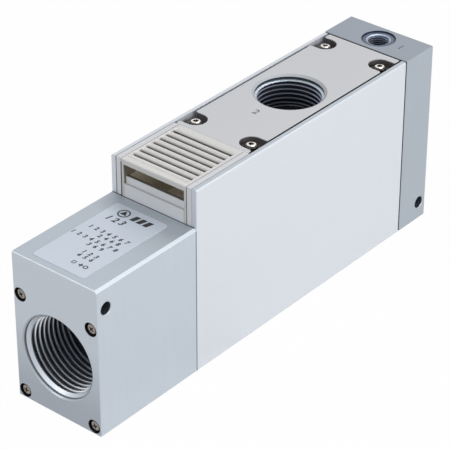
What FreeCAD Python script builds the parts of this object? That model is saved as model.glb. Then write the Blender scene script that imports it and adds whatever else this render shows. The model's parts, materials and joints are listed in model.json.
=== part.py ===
import FreeCAD, Part
import os
from math import pi, sin
from FreeCAD import Vector

# Vacuum ejector with two three-stage ejectors side by side in one body.
# X runs along the body from the exhaust end (-X) to the supply end (+X), Z is up.
# The origin is the middle of the base. All sizes are millimetres.

# Lengths along the body
exhaust_block_length = 52.0
front_bay_length = 31.9
supply_gasket_thickness = 0.8
supply_block_length = 17.2

# Body extrusion: closed duct below, web, open channel above
duct_floor_thickness = 6.0
duct_height = 38.0
duct_corner_radius = 6.0
duct_wall = 5.5
duct_side_gap = 0.9
web_thickness = 6.5
channel_depth = 26.5
channel_wall = 2.0
rail_depth = 5.0
rail_side = 0.7
body_top_chamfer = 0.5
body_foot_chamfer = 0.2

# Exhaust block
exhaust_block_rise = 11.0
exhaust_top_chamfer = 1.0
block_edge_break = 0.2

# Exhaust port, one inch taper pipe thread, its threads left plain
exhaust_port_radius = 16.2
exhaust_port_depth = 24.0
exhaust_band_step = 0.3
exhaust_band_depth = 1.2
exhaust_rim_chamfer = 0.45

# Vacuum port, three quarter inch taper pipe thread, its threads left plain
vacuum_port_radius = 12.6
vacuum_port_inset = 46.8
vacuum_rim_chamfer = 1.4
vacuum_rim_depth = 0.7

# Supply port, one eighth inch taper pipe thread, its threads left plain
supply_port_radius = 4.85
supply_port_depth = 12.0
supply_port_inset = 8.7
supply_spot_face_width = 2.0
supply_spot_face_depth = 0.5
supply_drill_step = 0.65

# Side mounting bores through both end blocks
mount_bore_radius = 2.5
exhaust_mount_inset = 4.6
supply_mount_inset = 4.2
mount_bore_chamfer = 0.25
exhaust_mount_drop = 9.1
supply_mount_height = 7.5

# Screws: one thread size, pan heads with a cross recess
screw_radius = 1.5
screw_head_radius = 2.6
screw_head_height = 1.9
screw_head_bevel = 0.8
screw_hole_clearance = 0.1
screw_thread_clearance = 0.04
screw_grip = 8.0
casing_screw_grip = 4.0
hole_bottom_room = 1.0
counterbore_clearance = 0.2
counterbore_depth = 2.2
recess_span = 2.9
recess_width = 0.62
recess_depth = 1.0
recess_first_turn = 15.0
recess_turn_step = 35.0

# Screw places in the end faces
end_screw_edge = 3.25
end_screw_rise = 0.6
exhaust_screw_low = 3.2
supply_screw_rise = 8.5
supply_top_screw_offset = 9.0

# Gaskets of the end blocks
exhaust_gasket_thickness = 0.5
exhaust_gasket_margin = 1.2
supply_gasket_inset = 0.5

# Port block in the rear of the channel
port_block_thickness = 15.0
port_block_gasket_thickness = 0.8
port_block_side_gap = 0.8
port_block_corner_radius = 0.8
port_block_edge_break = 0.25
port_screw_inset = 6.6
port_screw_rear_inset = 7.8
port_screw_edge = 4.8
port_pocket_radius = 4.5
port_pocket_depth = 2.4
port_pocket_flare = 0.7

# Casing of the front bay
bay_gap = 0.3
casing_wall = 2.3
casing_floor = 2.0
casing_rear_wall = 1.8
casing_wall_gap = 0.15
casing_front_setback = 0.1
casing_screw_station = 16.0
casing_screw_offset = 8.5

# Louvre cover and the insert in its window
cover_side_gap = 0.35
cover_rear_gap = 0.2
cover_thickness = 2.2
cover_skirt = 0.9
cover_groove_station = 2.5
cover_groove_width = 0.35
cover_groove_depth = 0.25
window_sill_drop = 10.2
insert_thickness = 2.6
insert_gap = 0.15
insert_recess = 1.1
insert_top_drop = 7.5

# Louvres across the cover
louvre_count = 7
louvre_pitch = 3.6
louvre_first = 4.3
louvre_slot_width = 2.1
louvre_end_margin = 1.2
louvre_round = 1.2
rear_land_thickness = 1.2

# Label on the exhaust block
label_length = 44.0
label_width = 24.4
label_thickness = 0.15
label_front_margin = 3.1
label_side_shift = 0.9
label_corner_radius = 1.5

# Bulkhead between the front bay and the suction chamber
bulkhead_thickness = 4.0
bulkhead_setback = 1.2
bulkhead_lead = 2.6
bulkhead_gap = 0.1
bulkhead_seal_width = 1.6
bulkhead_seal_depth = 1.2

# Ejector stages, counted from the rear end of the body
holder_thickness = 10.0
first_chamber_length = 10.5
second_chamber_length = 24.0
third_chamber_length = 30.0
partition_thickness = 5.0
ejector_gap = 0.2
sliding_gap = 0.1
seat_gap = 0.03

# Nozzles
nozzle_length = 14.0
nozzle_body_radius = 3.0
nozzle_flange_radius = 4.4
nozzle_flange_thickness = 2.0
nozzle_tip_radius = 1.6
nozzle_throat_radius = 0.6
nozzle_inlet_radius = 2.0
nozzle_taper_length = 4.0
nozzle_seal_section = 0.7

# Diffusers: gap before the mouth, reach past the partition, then the radii
first_diffuser = {"gap": 2.5, "reach": 8.0, "throat": 1.2, "exit": 1.7, "mouth": 2.4, "outer": 3.4}
second_diffuser = {"gap": 4.0, "reach": 11.0, "throat": 2.2, "exit": 2.9, "mouth": 3.8, "outer": 4.7}
third_diffuser = {"gap": 6.0, "reach": 24.0, "throat": 3.5, "exit": 5.0, "mouth": 5.2, "outer": 6.4}
diffuser_flange_step = 0.6
diffuser_flange_length = 1.6
diffuser_mouth_length = 2.5
diffuser_throat_share = 0.45

# Suction windows through the web and their check valves
window_half_width = 9.0
window_corner_radius = 2.0
window_margin = 2.0
valve_seat_thickness = 2.0
valve_seat_lap = 1.8
valve_port_width = 6.0
valve_port_margin = 2.2
valve_clamp_width = 3.2
flap_thickness = 0.6
flap_gap = 0.7
clamp_thickness = 1.0
valve_screw_radius = 1.0
valve_screw_head_radius = 1.9
valve_screw_head_height = 1.1
valve_screw_offset = 5.0

# Filter screen under the vacuum port
filter_seat_width = 1.1
filter_seat_gap = 0.05
filter_screen_thickness = 0.8
filter_rim_width = 1.4
filter_rim_thickness = 1.4
filter_ring_thickness = 1.0
filter_ring_width = 1.8

# Supply passage milled in the front face of the supply block
passage_half_height = 3.0
passage_end_room = 0.3
passage_round = 2.7
passage_reach = 1.5

# Cutting aids: overlap of two cutters, overshoot past a face, tolerance when edges are picked
cut_overlap = 0.05
overshoot = 1.0
pick_tolerance = 0.01

# Across the body
ejector_offset = third_diffuser["outer"] + diffuser_flange_step + ejector_gap
duct_half_width = ejector_offset + third_diffuser["outer"] + duct_side_gap
half_width = duct_half_width + duct_wall
channel_half_width = half_width - channel_wall
end_screw_offset = half_width - end_screw_edge
port_screw_offset = channel_half_width - port_screw_edge
screw_hole_radius = screw_radius + screw_hole_clearance
screw_thread_hole = screw_radius + screw_thread_clearance
counterbore_radius = screw_head_radius + counterbore_clearance
rail_inner = port_screw_offset - screw_thread_hole - rail_side
casing_half_width = channel_half_width - casing_wall_gap
casing_inner = casing_half_width - casing_wall
cover_half_width = casing_inner - cover_side_gap
louvre_half_length = cover_half_width - louvre_end_margin
passage_half_width = ejector_offset + passage_half_height + passage_end_room
filter_radius = vacuum_port_radius + filter_seat_width

# Up the body
duct_floor = duct_floor_thickness
duct_ceiling = duct_floor + duct_height
duct_axis_height = duct_floor + duct_height / 2
web_top = duct_ceiling + web_thickness
body_height = web_top + channel_depth
exhaust_block_height = web_top + exhaust_block_rise
exhaust_mount_height = exhaust_block_height - exhaust_mount_drop
end_screw_high = duct_ceiling + end_screw_rise
supply_screw_low = duct_floor + supply_screw_rise
supply_top_screw_height = body_height - port_block_thickness / 2
port_block_bottom = body_height - port_block_thickness
rail_top = port_block_bottom - port_block_gasket_thickness
rail_bottom = rail_top - rail_depth
casing_floor_top = web_top + casing_floor
cover_land_bottom = body_height - cover_thickness
window_sill_height = body_height - window_sill_drop
insert_top_height = body_height - insert_top_drop

# Distances of the stages from the rear end of the body
chamber_lengths = (first_chamber_length, second_chamber_length, third_chamber_length)
chambers = []
reached = holder_thickness
for length in chamber_lengths:
    chambers.append((reached, reached + length))
    reached = reached + length + partition_thickness
port_block_length = reached + bulkhead_lead
body_length = port_block_length + front_bay_length

# Stations along X
total_length = exhaust_block_length + body_length + supply_gasket_thickness + supply_block_length
exhaust_face = -total_length / 2
body_front = exhaust_face + exhaust_block_length
body_rear = body_front + body_length
supply_front = body_rear + supply_gasket_thickness
supply_rear = supply_front + supply_block_length
port_block_front = body_front + front_bay_length
rail_front = port_block_front + bulkhead_setback
cover_rear = port_block_front - bay_gap
vacuum_port_x = body_rear - vacuum_port_inset
supply_port_x = supply_rear - supply_port_inset
diffusers = (first_diffuser, second_diffuser, third_diffuser)

# Screw places
exhaust_screw_places = [
    (side * end_screw_offset, level) for side in (-1, 1) for level in (exhaust_screw_low, end_screw_high)
]
supply_screw_places = [
    (side * end_screw_offset, level) for side in (-1, 1) for level in (supply_screw_low, end_screw_high)
]
supply_top_screw_places = [
    (side * supply_top_screw_offset, supply_top_screw_height) for side in (-1, 1)
]
port_screw_places = [
    (station, side * port_screw_offset)
    for station in (port_block_front + port_screw_inset, body_rear - port_screw_rear_inset)
    for side in (-1, 1)
]
casing_screw_places = [(body_front + casing_screw_station, side * casing_screw_offset) for side in (-1, 1)]


# Small shape helpers

def block(x_span, y_span, z_span):
    """Return a box between two limits on each axis."""
    corner = Vector(x_span[0], y_span[0], z_span[0])
    return Part.makeBox(x_span[1] - x_span[0], y_span[1] - y_span[0], z_span[1] - z_span[0], corner)


def rod_x(x_span, radius, y, z):
    """Return a cylinder along X."""
    return Part.makeCylinder(radius, x_span[1] - x_span[0], Vector(x_span[0], y, z), Vector(1, 0, 0))


def rod_y(y_span, radius, x, z):
    """Return a cylinder along Y."""
    return Part.makeCylinder(radius, y_span[1] - y_span[0], Vector(x, y_span[0], z), Vector(0, 1, 0))


def rod_z(z_span, radius, x, y):
    """Return a cylinder along Z."""
    return Part.makeCylinder(radius, z_span[1] - z_span[0], Vector(x, y, z_span[0]), Vector(0, 0, 1))


def edges_along(shape, axis, test):
    """Return the straight edges parallel to an axis whose middle point passes the test."""
    found = []
    for edge in shape.Edges:
        if edge.Curve.TypeId != "Part::GeomLine":
            continue
        run = edge.Vertexes[-1].Point - edge.Vertexes[0].Point
        if run.cross(axis).Length < pick_tolerance * run.Length and test(edge.CenterOfMass):
            found.append(edge)
    return found


def rounded_block(x_span, y_span, z_span, radius, axis):
    """Return a box whose four edges along one axis are rounded."""
    shape = block(x_span, y_span, z_span)
    return shape.makeFillet(radius, edges_along(shape, axis, lambda point: True))


def cone_z(z_span, low_radius, high_radius, x, y):
    """Return a cone along Z between two levels."""
    start = Vector(x, y, z_span[0])
    return Part.makeCone(low_radius, high_radius, z_span[1] - z_span[0], start, Vector(0, 0, 1))


def cone_x(x_span, low_radius, high_radius, y, z):
    """Return a cone along X between two stations."""
    start = Vector(x_span[0], y, z)
    return Part.makeCone(low_radius, high_radius, x_span[1] - x_span[0], start, Vector(1, 0, 0))


def turned_x(outline, y, z):
    """Return the solid turned about an X axis from points of station and radius."""
    points = [Vector(station, y, z + radius) for station, radius in outline]
    face = Part.Face(Part.makePolygon(points + points[:1]))
    return face.revolve(Vector(0, y, z), Vector(1, 0, 0), 360)


def merged(shapes):
    """Return one solid fused from several that meet."""
    return shapes[0].fuse(shapes[1:]).removeSplitter()


def cut_all(shape, tools):
    """Return the shape with every tool cut away."""
    return shape.cut(tools).removeSplitter()


def save(name, shape):
    """Write one sub-part, a single solid or a group of them."""
    solids = shape.Solids
    result = solids[0] if len(solids) == 1 else Part.makeCompound(solids)
    result.exportStep("parts/" + name + ".step")
    print(name, len(solids), round(result.Volume, 1))


# Fasteners

def pan_screw(length):
    """Return a pan head screw that stands on its seat at the origin and points down."""
    head = Part.makeCylinder(screw_head_radius, screw_head_height)
    rim = [edge for edge in head.Edges if edge.Closed and edge.CenterOfMass.z > screw_head_height / 2]
    head = head.makeChamfer(screw_head_bevel, rim)
    shank = Part.makeCylinder(screw_radius, length, Vector(0, 0, -length))
    half = recess_span / 2
    z_span = (screw_head_height - recess_depth, screw_head_height)
    wing = block((-half, half), (-recess_width / 2, recess_width / 2), z_span)
    cross = wing.copy()
    cross.rotate(Vector(0, 0, 0), Vector(0, 0, 1), 90)
    return cut_all(merged([head, shank]), [wing, cross])


def screw_group(length, seats, outward):
    """Return equal pan head screws on their seats, each turned a little further than the last."""
    screws = []
    for number, seat in enumerate(seats):
        screw = pan_screw(length)
        turn = recess_first_turn + number * recess_turn_step
        screw.rotate(Vector(0, 0, 0), Vector(0, 0, 1), turn)
        spin = FreeCAD.Rotation(Vector(0, 0, 1), outward)
        screw.Placement = FreeCAD.Placement(seat, spin).multiply(screw.Placement)
        screws.append(screw)
    return Part.makeCompound(screws)


def make_exhaust_block_screws():
    """Four long screws through the exhaust block into the body."""
    seat_x = exhaust_face + counterbore_depth
    seats = [Vector(seat_x, y, z) for y, z in exhaust_screw_places]
    return screw_group(body_front + screw_grip - seat_x, seats, Vector(-1, 0, 0))


def make_supply_block_screws():
    """Six screws through the supply block, four into the body and two into the port block."""
    seat_x = supply_rear - counterbore_depth
    places = supply_screw_places + supply_top_screw_places
    seats = [Vector(seat_x, y, z) for y, z in places]
    return screw_group(seat_x - body_rear + screw_grip, seats, Vector(1, 0, 0))


def make_port_block_screws():
    """Four screws that hold the port block down on the rails of the body."""
    seat_z = body_height - port_pocket_depth
    seats = [Vector(x, y, seat_z) for x, y in port_screw_places]
    return screw_group(seat_z - rail_bottom, seats, Vector(0, 0, 1))


def make_casing_screws():
    """Two screws that hold the casing down on the web."""
    seats = [Vector(x, y, casing_floor_top) for x, y in casing_screw_places]
    return screw_group(casing_floor + casing_screw_grip, seats, Vector(0, 0, 1))


# Body extrusion

def duct_prism(start, end, gap):
    """Return the section of the duct, drawn in by a gap, between two stations."""
    half = duct_half_width - gap
    z_span = (duct_floor + gap, duct_ceiling - gap)
    return rounded_block((start, end), (-half, half), z_span, duct_corner_radius - gap, Vector(1, 0, 0))


def suction_window(number):
    """Return the X span of the web window over one chamber, first stage first."""
    near, far = chambers[number]
    return body_rear - far + window_margin, body_rear - near - window_margin


def rail(side):
    """Return one screw rail inside the channel, let into the channel's wall."""
    y_span = sorted((side * rail_inner, side * (channel_half_width + channel_wall / 2)))
    return block((rail_front, body_rear), y_span, (rail_bottom, rail_top))


def make_body_extrusion():
    """Aluminium extrusion with a duct below, a web, and an open channel above."""
    shell = block((body_front, body_rear), (-half_width, half_width), (0, body_height))
    middle = body_height / 2
    top_edges = edges_along(shell, Vector(1, 0, 0), lambda point: point.z > middle)
    shell = shell.makeChamfer(body_top_chamfer, top_edges)
    foot_edges = edges_along(shell, Vector(1, 0, 0), lambda point: point.z < pick_tolerance)
    shell = shell.makeChamfer(body_foot_chamfer, foot_edges)
    channel_span = (-channel_half_width, channel_half_width)
    channel = block((body_front, body_rear), channel_span, (web_top, body_height))
    shell = shell.cut([channel, duct_prism(body_front, body_rear, 0)])
    shell = merged([shell, rail(-1), rail(1)])
    tools = []
    z_span = (duct_ceiling - overshoot, web_top + overshoot)
    y_span = (-window_half_width, window_half_width)
    for number in range(len(chambers)):
        x_span = suction_window(number)
        tools.append(rounded_block(x_span, y_span, z_span, window_corner_radius, Vector(0, 0, 1)))
    depth = screw_grip + hole_bottom_room
    for y, z in exhaust_screw_places:
        tools.append(rod_x((body_front, body_front + depth), screw_thread_hole, y, z))
    for y, z in supply_screw_places:
        tools.append(rod_x((body_rear - depth, body_rear), screw_thread_hole, y, z))
    for x, y in port_screw_places:
        tools.append(rod_z((rail_bottom - overshoot, rail_top), screw_thread_hole, x, y))
    hole_floor = web_top - casing_screw_grip - hole_bottom_room
    for x, y in casing_screw_places:
        tools.append(rod_z((hole_floor, web_top), screw_thread_hole, x, y))
    return cut_all(shell, tools)


# Exhaust end

def mount_bore(x, z):
    """Return the cutter of a side mounting bore with chamfered mouths."""
    bore = rod_y((-half_width, half_width), mount_bore_radius, x, z)
    wide = mount_bore_radius + mount_bore_chamfer
    mouths = []
    for side in (-1, 1):
        start = Vector(x, side * half_width, z)
        inward = Vector(0, -side, 0)
        mouths.append(Part.makeCone(wide, mount_bore_radius, mount_bore_chamfer, start, inward))
    return bore.fuse(mouths)


def exhaust_port_cutters():
    """Return the cutters of the exhaust port: rim chamfer, plain band and thread bore."""
    axis = (0, duct_axis_height)
    band_radius = exhaust_port_radius + exhaust_band_step
    rim_radius = band_radius + exhaust_rim_chamfer
    return [
        cone_x((exhaust_face, exhaust_face + exhaust_rim_chamfer), rim_radius, band_radius, *axis),
        rod_x((exhaust_face, exhaust_face + exhaust_band_depth), band_radius, *axis),
        rod_x((exhaust_face, exhaust_face + exhaust_port_depth), exhaust_port_radius, *axis),
    ]


def end_screw_cutters(places, x_span, face):
    """Return the through holes and counterbores of an end block, its heads sunk from one face."""
    inner = face + counterbore_depth if face == x_span[0] else face - counterbore_depth
    cutters = []
    for y, z in places:
        cutters.append(rod_x(x_span, screw_hole_radius, y, z))
        cutters.append(rod_x(sorted((face, inner)), counterbore_radius, y, z))
    return cutters


def make_exhaust_block():
    """Machined block with the exhaust port, a plenum behind it and a side mounting bore."""
    x_span = (exhaust_face, body_front)
    solid = block(x_span, (-half_width, half_width), (0, exhaust_block_height))
    top = exhaust_block_height - pick_tolerance
    along = Vector(1, 0, 0)
    wide = edges_along(solid, along, lambda point: point.z > top and point.y < 0)
    solid = solid.makeChamfer(exhaust_top_chamfer, wide)
    small = [edge for edge in solid.Edges if edge.BoundBox.XMax < body_front - pick_tolerance]
    small += edges_along(solid, along, lambda point: point.z < pick_tolerance)
    small += edges_along(solid, along, lambda point: point.z > top and point.y > half_width - pick_tolerance)
    solid = solid.makeChamfer(block_edge_break, small)
    plenum_start = exhaust_face + exhaust_port_depth - cut_overlap
    tools = exhaust_port_cutters()
    tools += [
        duct_prism(plenum_start, body_front, 0),
        exhaust_gasket_blank(),
        mount_bore(exhaust_face + exhaust_mount_inset, exhaust_mount_height),
    ]
    tools += end_screw_cutters(exhaust_screw_places, x_span, exhaust_face)
    return cut_all(solid, tools)


def exhaust_gasket_blank():
    """Return the outline of the exhaust gasket as a full plate."""
    half = half_width - exhaust_gasket_margin
    x_span = (body_front - exhaust_gasket_thickness, body_front)
    return block(x_span, (-half, half), (exhaust_gasket_margin, web_top))


def make_exhaust_gasket():
    """Rubber gasket round the duct, flush in the rear face of the exhaust block."""
    x_span = (body_front - exhaust_gasket_thickness, body_front)
    tools = [duct_prism(*x_span, 0)]
    tools += [rod_x(x_span, screw_hole_radius, y, z) for y, z in exhaust_screw_places]
    return cut_all(exhaust_gasket_blank(), tools)


def make_label():
    """Thin label with round corners on top of the exhaust block."""
    start = exhaust_face + label_front_margin
    y_span = (label_side_shift - label_width / 2, label_side_shift + label_width / 2)
    z_span = (exhaust_block_height, exhaust_block_height + label_thickness)
    return rounded_block((start, start + label_length), y_span, z_span, label_corner_radius, Vector(0, 0, 1))


# Supply end

def nozzle_passage(start, end):
    """Return the rounded slot that feeds both nozzles, between two stations."""
    y_span = (-passage_half_width, passage_half_width)
    z_span = (duct_axis_height - passage_half_height, duct_axis_height + passage_half_height)
    return rounded_block((start, end), y_span, z_span, passage_round, Vector(1, 0, 0))


def make_supply_gasket():
    """Rubber gasket over the whole rear end of the body."""
    half = half_width - supply_gasket_inset
    x_span = (body_rear, supply_front)
    sheet = block(x_span, (-half, half), (supply_gasket_inset, body_height - supply_gasket_inset))
    tools = [nozzle_passage(*x_span)]
    for y, z in supply_screw_places + supply_top_screw_places:
        tools.append(rod_x(x_span, screw_hole_radius, y, z))
    return cut_all(sheet, tools)


def supply_port_cutters():
    """Return the cutters of the supply port: spot face, thread bore and drill."""
    place = (supply_port_x, 0)
    face_level = body_height - supply_spot_face_depth
    rim_radius = supply_port_radius + supply_spot_face_width
    drill_radius = supply_port_radius - supply_drill_step
    drill_floor = duct_axis_height - passage_half_height
    return [
        rod_z((face_level, body_height), rim_radius, *place),
        rod_z((body_height - supply_port_depth, body_height), supply_port_radius, *place),
        rod_z((drill_floor, body_height), drill_radius, *place),
        nozzle_passage(supply_front, supply_port_x - drill_radius + passage_reach),
    ]


def make_supply_block():
    """Machined block with the supply port on top and the passage to the nozzles."""
    x_span = (supply_front, supply_rear)
    solid = block(x_span, (-half_width, half_width), (0, body_height))
    solid = solid.makeChamfer(block_edge_break, solid.Edges)
    tools = supply_port_cutters()
    tools.append(mount_bore(supply_rear - supply_mount_inset, supply_mount_height))
    places = supply_screw_places + supply_top_screw_places
    tools += end_screw_cutters(places, x_span, supply_rear)
    return cut_all(solid, tools)


# Port block and what lies under it

def vacuum_port_cutters():
    """Return the cutters of the vacuum port: rim chamfer, thread bore and filter seat."""
    place = (vacuum_port_x, 0)
    rim_radius = vacuum_port_radius + vacuum_rim_chamfer
    seat_top = port_block_bottom + filter_rim_thickness + filter_ring_thickness
    return [
        cone_z((body_height - vacuum_rim_depth, body_height), vacuum_port_radius, rim_radius, *place),
        rod_z((port_block_bottom, body_height), vacuum_port_radius, *place),
        rod_z((port_block_bottom, seat_top), filter_radius + filter_seat_gap, *place),
    ]


def screw_pocket_cutters(x, y):
    """Return the cutters of one screw hole and its pocket, open towards the side of the body."""
    side = 1 if y > 0 else -1
    edge = side * (channel_half_width - port_block_side_gap)
    flared = edge - side * port_pocket_flare
    x_span = (x - port_pocket_radius, x + port_pocket_radius)
    z_span = (body_height - port_pocket_depth, body_height)
    wide_span = (x_span[0] - port_pocket_flare, x_span[1] + port_pocket_flare)
    corners = [(x_span[0], flared), (wide_span[0], edge), (wide_span[1], edge), (x_span[1], flared)]
    points = [Vector(station, across, z_span[0]) for station, across in corners]
    mouth = Part.Face(Part.makePolygon(points + points[:1])).extrude(Vector(0, 0, port_pocket_depth))
    return [
        rod_z((port_block_bottom, body_height), screw_hole_radius, x, y),
        rod_z(z_span, port_pocket_radius, x, y),
        block(x_span, sorted((y, side * half_width)), z_span),
        mouth,
    ]


def make_port_block():
    """Block that closes the channel, with the vacuum port and four screw pockets."""
    half = channel_half_width - port_block_side_gap
    x_span = (port_block_front, body_rear)
    z_span = (port_block_bottom, body_height)
    solid = rounded_block(x_span, (-half, half), z_span, port_block_corner_radius, Vector(0, 0, 1))
    top_edges = [edge for edge in solid.Edges if edge.BoundBox.ZMin > body_height - pick_tolerance]
    solid = solid.makeChamfer(port_block_edge_break, top_edges)
    tools = vacuum_port_cutters()
    for x, y in port_screw_places:
        tools += screw_pocket_cutters(x, y)
    depth = screw_grip + hole_bottom_room
    for y, z in supply_top_screw_places:
        tools.append(rod_x((body_rear - depth, body_rear), screw_thread_hole, y, z))
    return cut_all(solid, tools)


def make_port_block_gasket():
    """Rubber frame between the port block and the rails."""
    half = channel_half_width - port_block_side_gap
    z_span = (rail_top, port_block_bottom)
    sheet = block((rail_front, body_rear), (-half, half), z_span)
    tools = [block((rail_front + bulkhead_thickness, body_rear), (-rail_inner, rail_inner), z_span)]
    tools += [rod_z(z_span, screw_hole_radius, x, y) for x, y in port_screw_places]
    return cut_all(sheet, tools)


def bulkhead_outline(x_span):
    """Return the T shape that fills the channel under and between the rails."""
    wide = channel_half_width - bulkhead_gap
    narrow = rail_inner - bulkhead_gap
    low = web_top + bulkhead_gap
    foot = block(x_span, (-wide, wide), (low, rail_bottom - bulkhead_gap))
    neck = block(x_span, (-narrow, narrow), (low, rail_top))
    return merged([foot, neck])


def make_bulkhead():
    """Wall that closes the front of the suction chamber, grooved for its seal."""
    outline = bulkhead_outline((rail_front, rail_front + bulkhead_thickness))
    return cut_all(outline, [make_bulkhead_seal()])


def make_bulkhead_seal():
    """Rubber cord in the groove round the foot and neck of the bulkhead."""
    middle = rail_front + bulkhead_thickness / 2
    x_span = (middle - bulkhead_seal_width / 2, middle + bulkhead_seal_width / 2)
    inset = bulkhead_gap + bulkhead_seal_depth
    wide = channel_half_width - inset
    narrow = rail_inner - inset
    low = web_top + inset
    foot = block(x_span, (-wide, wide), (low, rail_bottom - inset))
    neck = block(x_span, (-narrow, narrow), (low, rail_top + overshoot))
    return cut_all(bulkhead_outline(x_span), [foot, neck])


def make_filter_screen():
    """Round filter screen with a thicker rim, in the seat under the vacuum port."""
    low = port_block_bottom + filter_ring_thickness
    high = low + filter_rim_thickness
    inner = filter_radius - filter_rim_width
    middle = (low + high) / 2
    half = filter_screen_thickness / 2
    hollows = [
        rod_z((low, middle - half), inner, vacuum_port_x, 0),
        rod_z((middle + half, high), inner, vacuum_port_x, 0),
    ]
    return cut_all(rod_z((low, high), filter_radius, vacuum_port_x, 0), hollows)


def make_filter_ring():
    """Retaining ring that holds the filter screen up in its seat."""
    z_span = (port_block_bottom, port_block_bottom + filter_ring_thickness)
    ring = rod_z(z_span, filter_radius, vacuum_port_x, 0)
    return ring.cut(rod_z(z_span, filter_radius - filter_ring_width, vacuum_port_x, 0))


# Front bay

def make_casing():
    """Moulded casing that lines the front bay, open at the top and front."""
    front = body_front + casing_front_setback
    outer = block((front, cover_rear), (-casing_half_width, casing_half_width), (web_top, body_height))
    inner_span = (-casing_inner, casing_inner)
    top = body_height + overshoot
    tools = [
        block((front, cover_rear - casing_rear_wall), inner_span, (casing_floor_top, top)),
        block((front, cover_rear), inner_span, (cover_land_bottom, top)),
    ]
    for x, y in casing_screw_places:
        tools.append(rod_z((web_top, casing_floor_top), screw_hole_radius, x, y))
    return cut_all(outer, tools)


def louvre_slot(front):
    """Return the cutter of one slot: a straight front wall and a rounded lip behind it."""
    top = body_height
    lip = front + louvre_slot_width
    centre = Vector(lip + louvre_round, 0, top - louvre_round)
    bend = louvre_round * sin(pi / 4)
    start = Vector(lip, 0, top - louvre_round)
    end = Vector(lip + louvre_round, 0, top)
    arc = Part.Arc(start, centre + Vector(-bend, 0, bend), end)
    low = cover_land_bottom - overshoot
    corners = [
        end,
        Vector(lip + louvre_round, 0, top + overshoot),
        Vector(front, 0, top + overshoot),
        Vector(front, 0, low),
        Vector(lip, 0, low),
        start,
    ]
    lines = [Part.LineSegment(a, b).toShape() for a, b in zip(corners, corners[1:])]
    profile = Part.Face(Part.Wire([arc.toShape()] + lines))
    profile.translate(Vector(0, -louvre_half_length, 0))
    return profile.extrude(Vector(0, 2 * louvre_half_length, 0))


def make_louvre_cover():
    """Moulded cover with seven louvre slots, side skirts and an open front window."""
    front = body_front
    half = cover_half_width
    inner = half - cover_skirt
    shell = block((front, cover_rear), (-half, half), (casing_floor_top, body_height))
    skirt_end = cover_rear - casing_rear_wall - cover_rear_gap
    below = (casing_floor_top, cover_land_bottom)
    louvre_span = (-louvre_half_length, louvre_half_length)
    tools = [
        block((front, skirt_end), (-inner, inner), below),
        block((skirt_end, cover_rear), (-half, half), below),
    ]
    for number in range(louvre_count):
        tools.append(louvre_slot(front + louvre_first + number * louvre_pitch))
    last_lip = front + louvre_first + (louvre_count - 1) * louvre_pitch + louvre_slot_width
    land_span = (last_lip - cut_overlap, last_lip + louvre_slot_width)
    tools.append(block(land_span, louvre_span, (cover_land_bottom, body_height - rear_land_thickness)))
    groove = front + cover_groove_station
    groove_depth = (body_height - cover_groove_depth, body_height)
    tools.append(block((groove, groove + cover_groove_width), louvre_span, groove_depth))
    return cut_all(shell, tools)


def make_blanking_insert():
    """Insert that closes the lower part of the window, its upper part set back."""
    half = cover_half_width - cover_skirt - insert_gap
    x_span = (body_front, body_front + insert_thickness)
    plate = block(x_span, (-half, half), (casing_floor_top, insert_top_height))
    step_span = (body_front, body_front + insert_recess)
    return plate.cut(block(step_span, (-half, half), (window_sill_height, insert_top_height)))


# Ejector stages

def both_rods(x_span, radius):
    """Return two cylinders on the axes of the two ejectors."""
    return [rod_x(x_span, radius, side * ejector_offset, duct_axis_height) for side in (-1, 1)]


def make_nozzle_holder():
    """Plate at the rear of the duct that seats both nozzles."""
    start = body_rear - holder_thickness
    pocket = body_rear - nozzle_flange_thickness - nozzle_seal_section
    tools = both_rods((start, body_rear), nozzle_body_radius + seat_gap)
    tools += both_rods((pocket, body_rear), nozzle_flange_radius + seat_gap)
    return cut_all(duct_prism(start, body_rear, sliding_gap), tools)


def make_nozzle(side):
    """Turned nozzle with a flange, a tapered nose and a fine throat."""
    tip = body_rear - nozzle_length
    flange = body_rear - nozzle_flange_thickness
    taper = tip + nozzle_taper_length
    outline = [
        (body_rear, nozzle_inlet_radius),
        (body_rear, nozzle_flange_radius),
        (flange, nozzle_flange_radius),
        (flange, nozzle_body_radius),
        (taper, nozzle_body_radius),
        (tip, nozzle_tip_radius),
        (tip, nozzle_throat_radius),
        (tip + nozzle_taper_length / 2, nozzle_throat_radius),
        (taper, nozzle_inlet_radius),
    ]
    return turned_x(outline, side * ejector_offset, duct_axis_height)


def make_nozzle_seals():
    """Two flat rubber rings under the nozzle flanges."""
    high = body_rear - nozzle_flange_thickness
    x_span = (high - nozzle_seal_section, high)
    outer = both_rods(x_span, nozzle_flange_radius - seat_gap)
    inner = both_rods(x_span, nozzle_body_radius + seat_gap)
    return Part.makeCompound([ring.cut(hole) for ring, hole in zip(outer, inner)])


def make_partition(number):
    """Plate across the duct that carries the two diffusers of one stage."""
    rear_face = body_rear - chambers[number][1]
    x_span = (rear_face - partition_thickness, rear_face)
    radius = diffusers[number]["outer"] + seat_gap
    return cut_all(duct_prism(*x_span, sliding_gap), both_rods(x_span, radius))


def diffuser_span(number):
    """Return the stations of a diffuser's inlet and outlet, each fed by the one before it."""
    inlet = body_rear - nozzle_length
    for stage in range(number + 1):
        inlet = inlet - diffusers[stage]["gap"]
        outlet = body_rear - chambers[stage][1] - partition_thickness - diffusers[stage]["reach"]
        if stage < number:
            inlet = outlet
    return inlet, outlet


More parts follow.
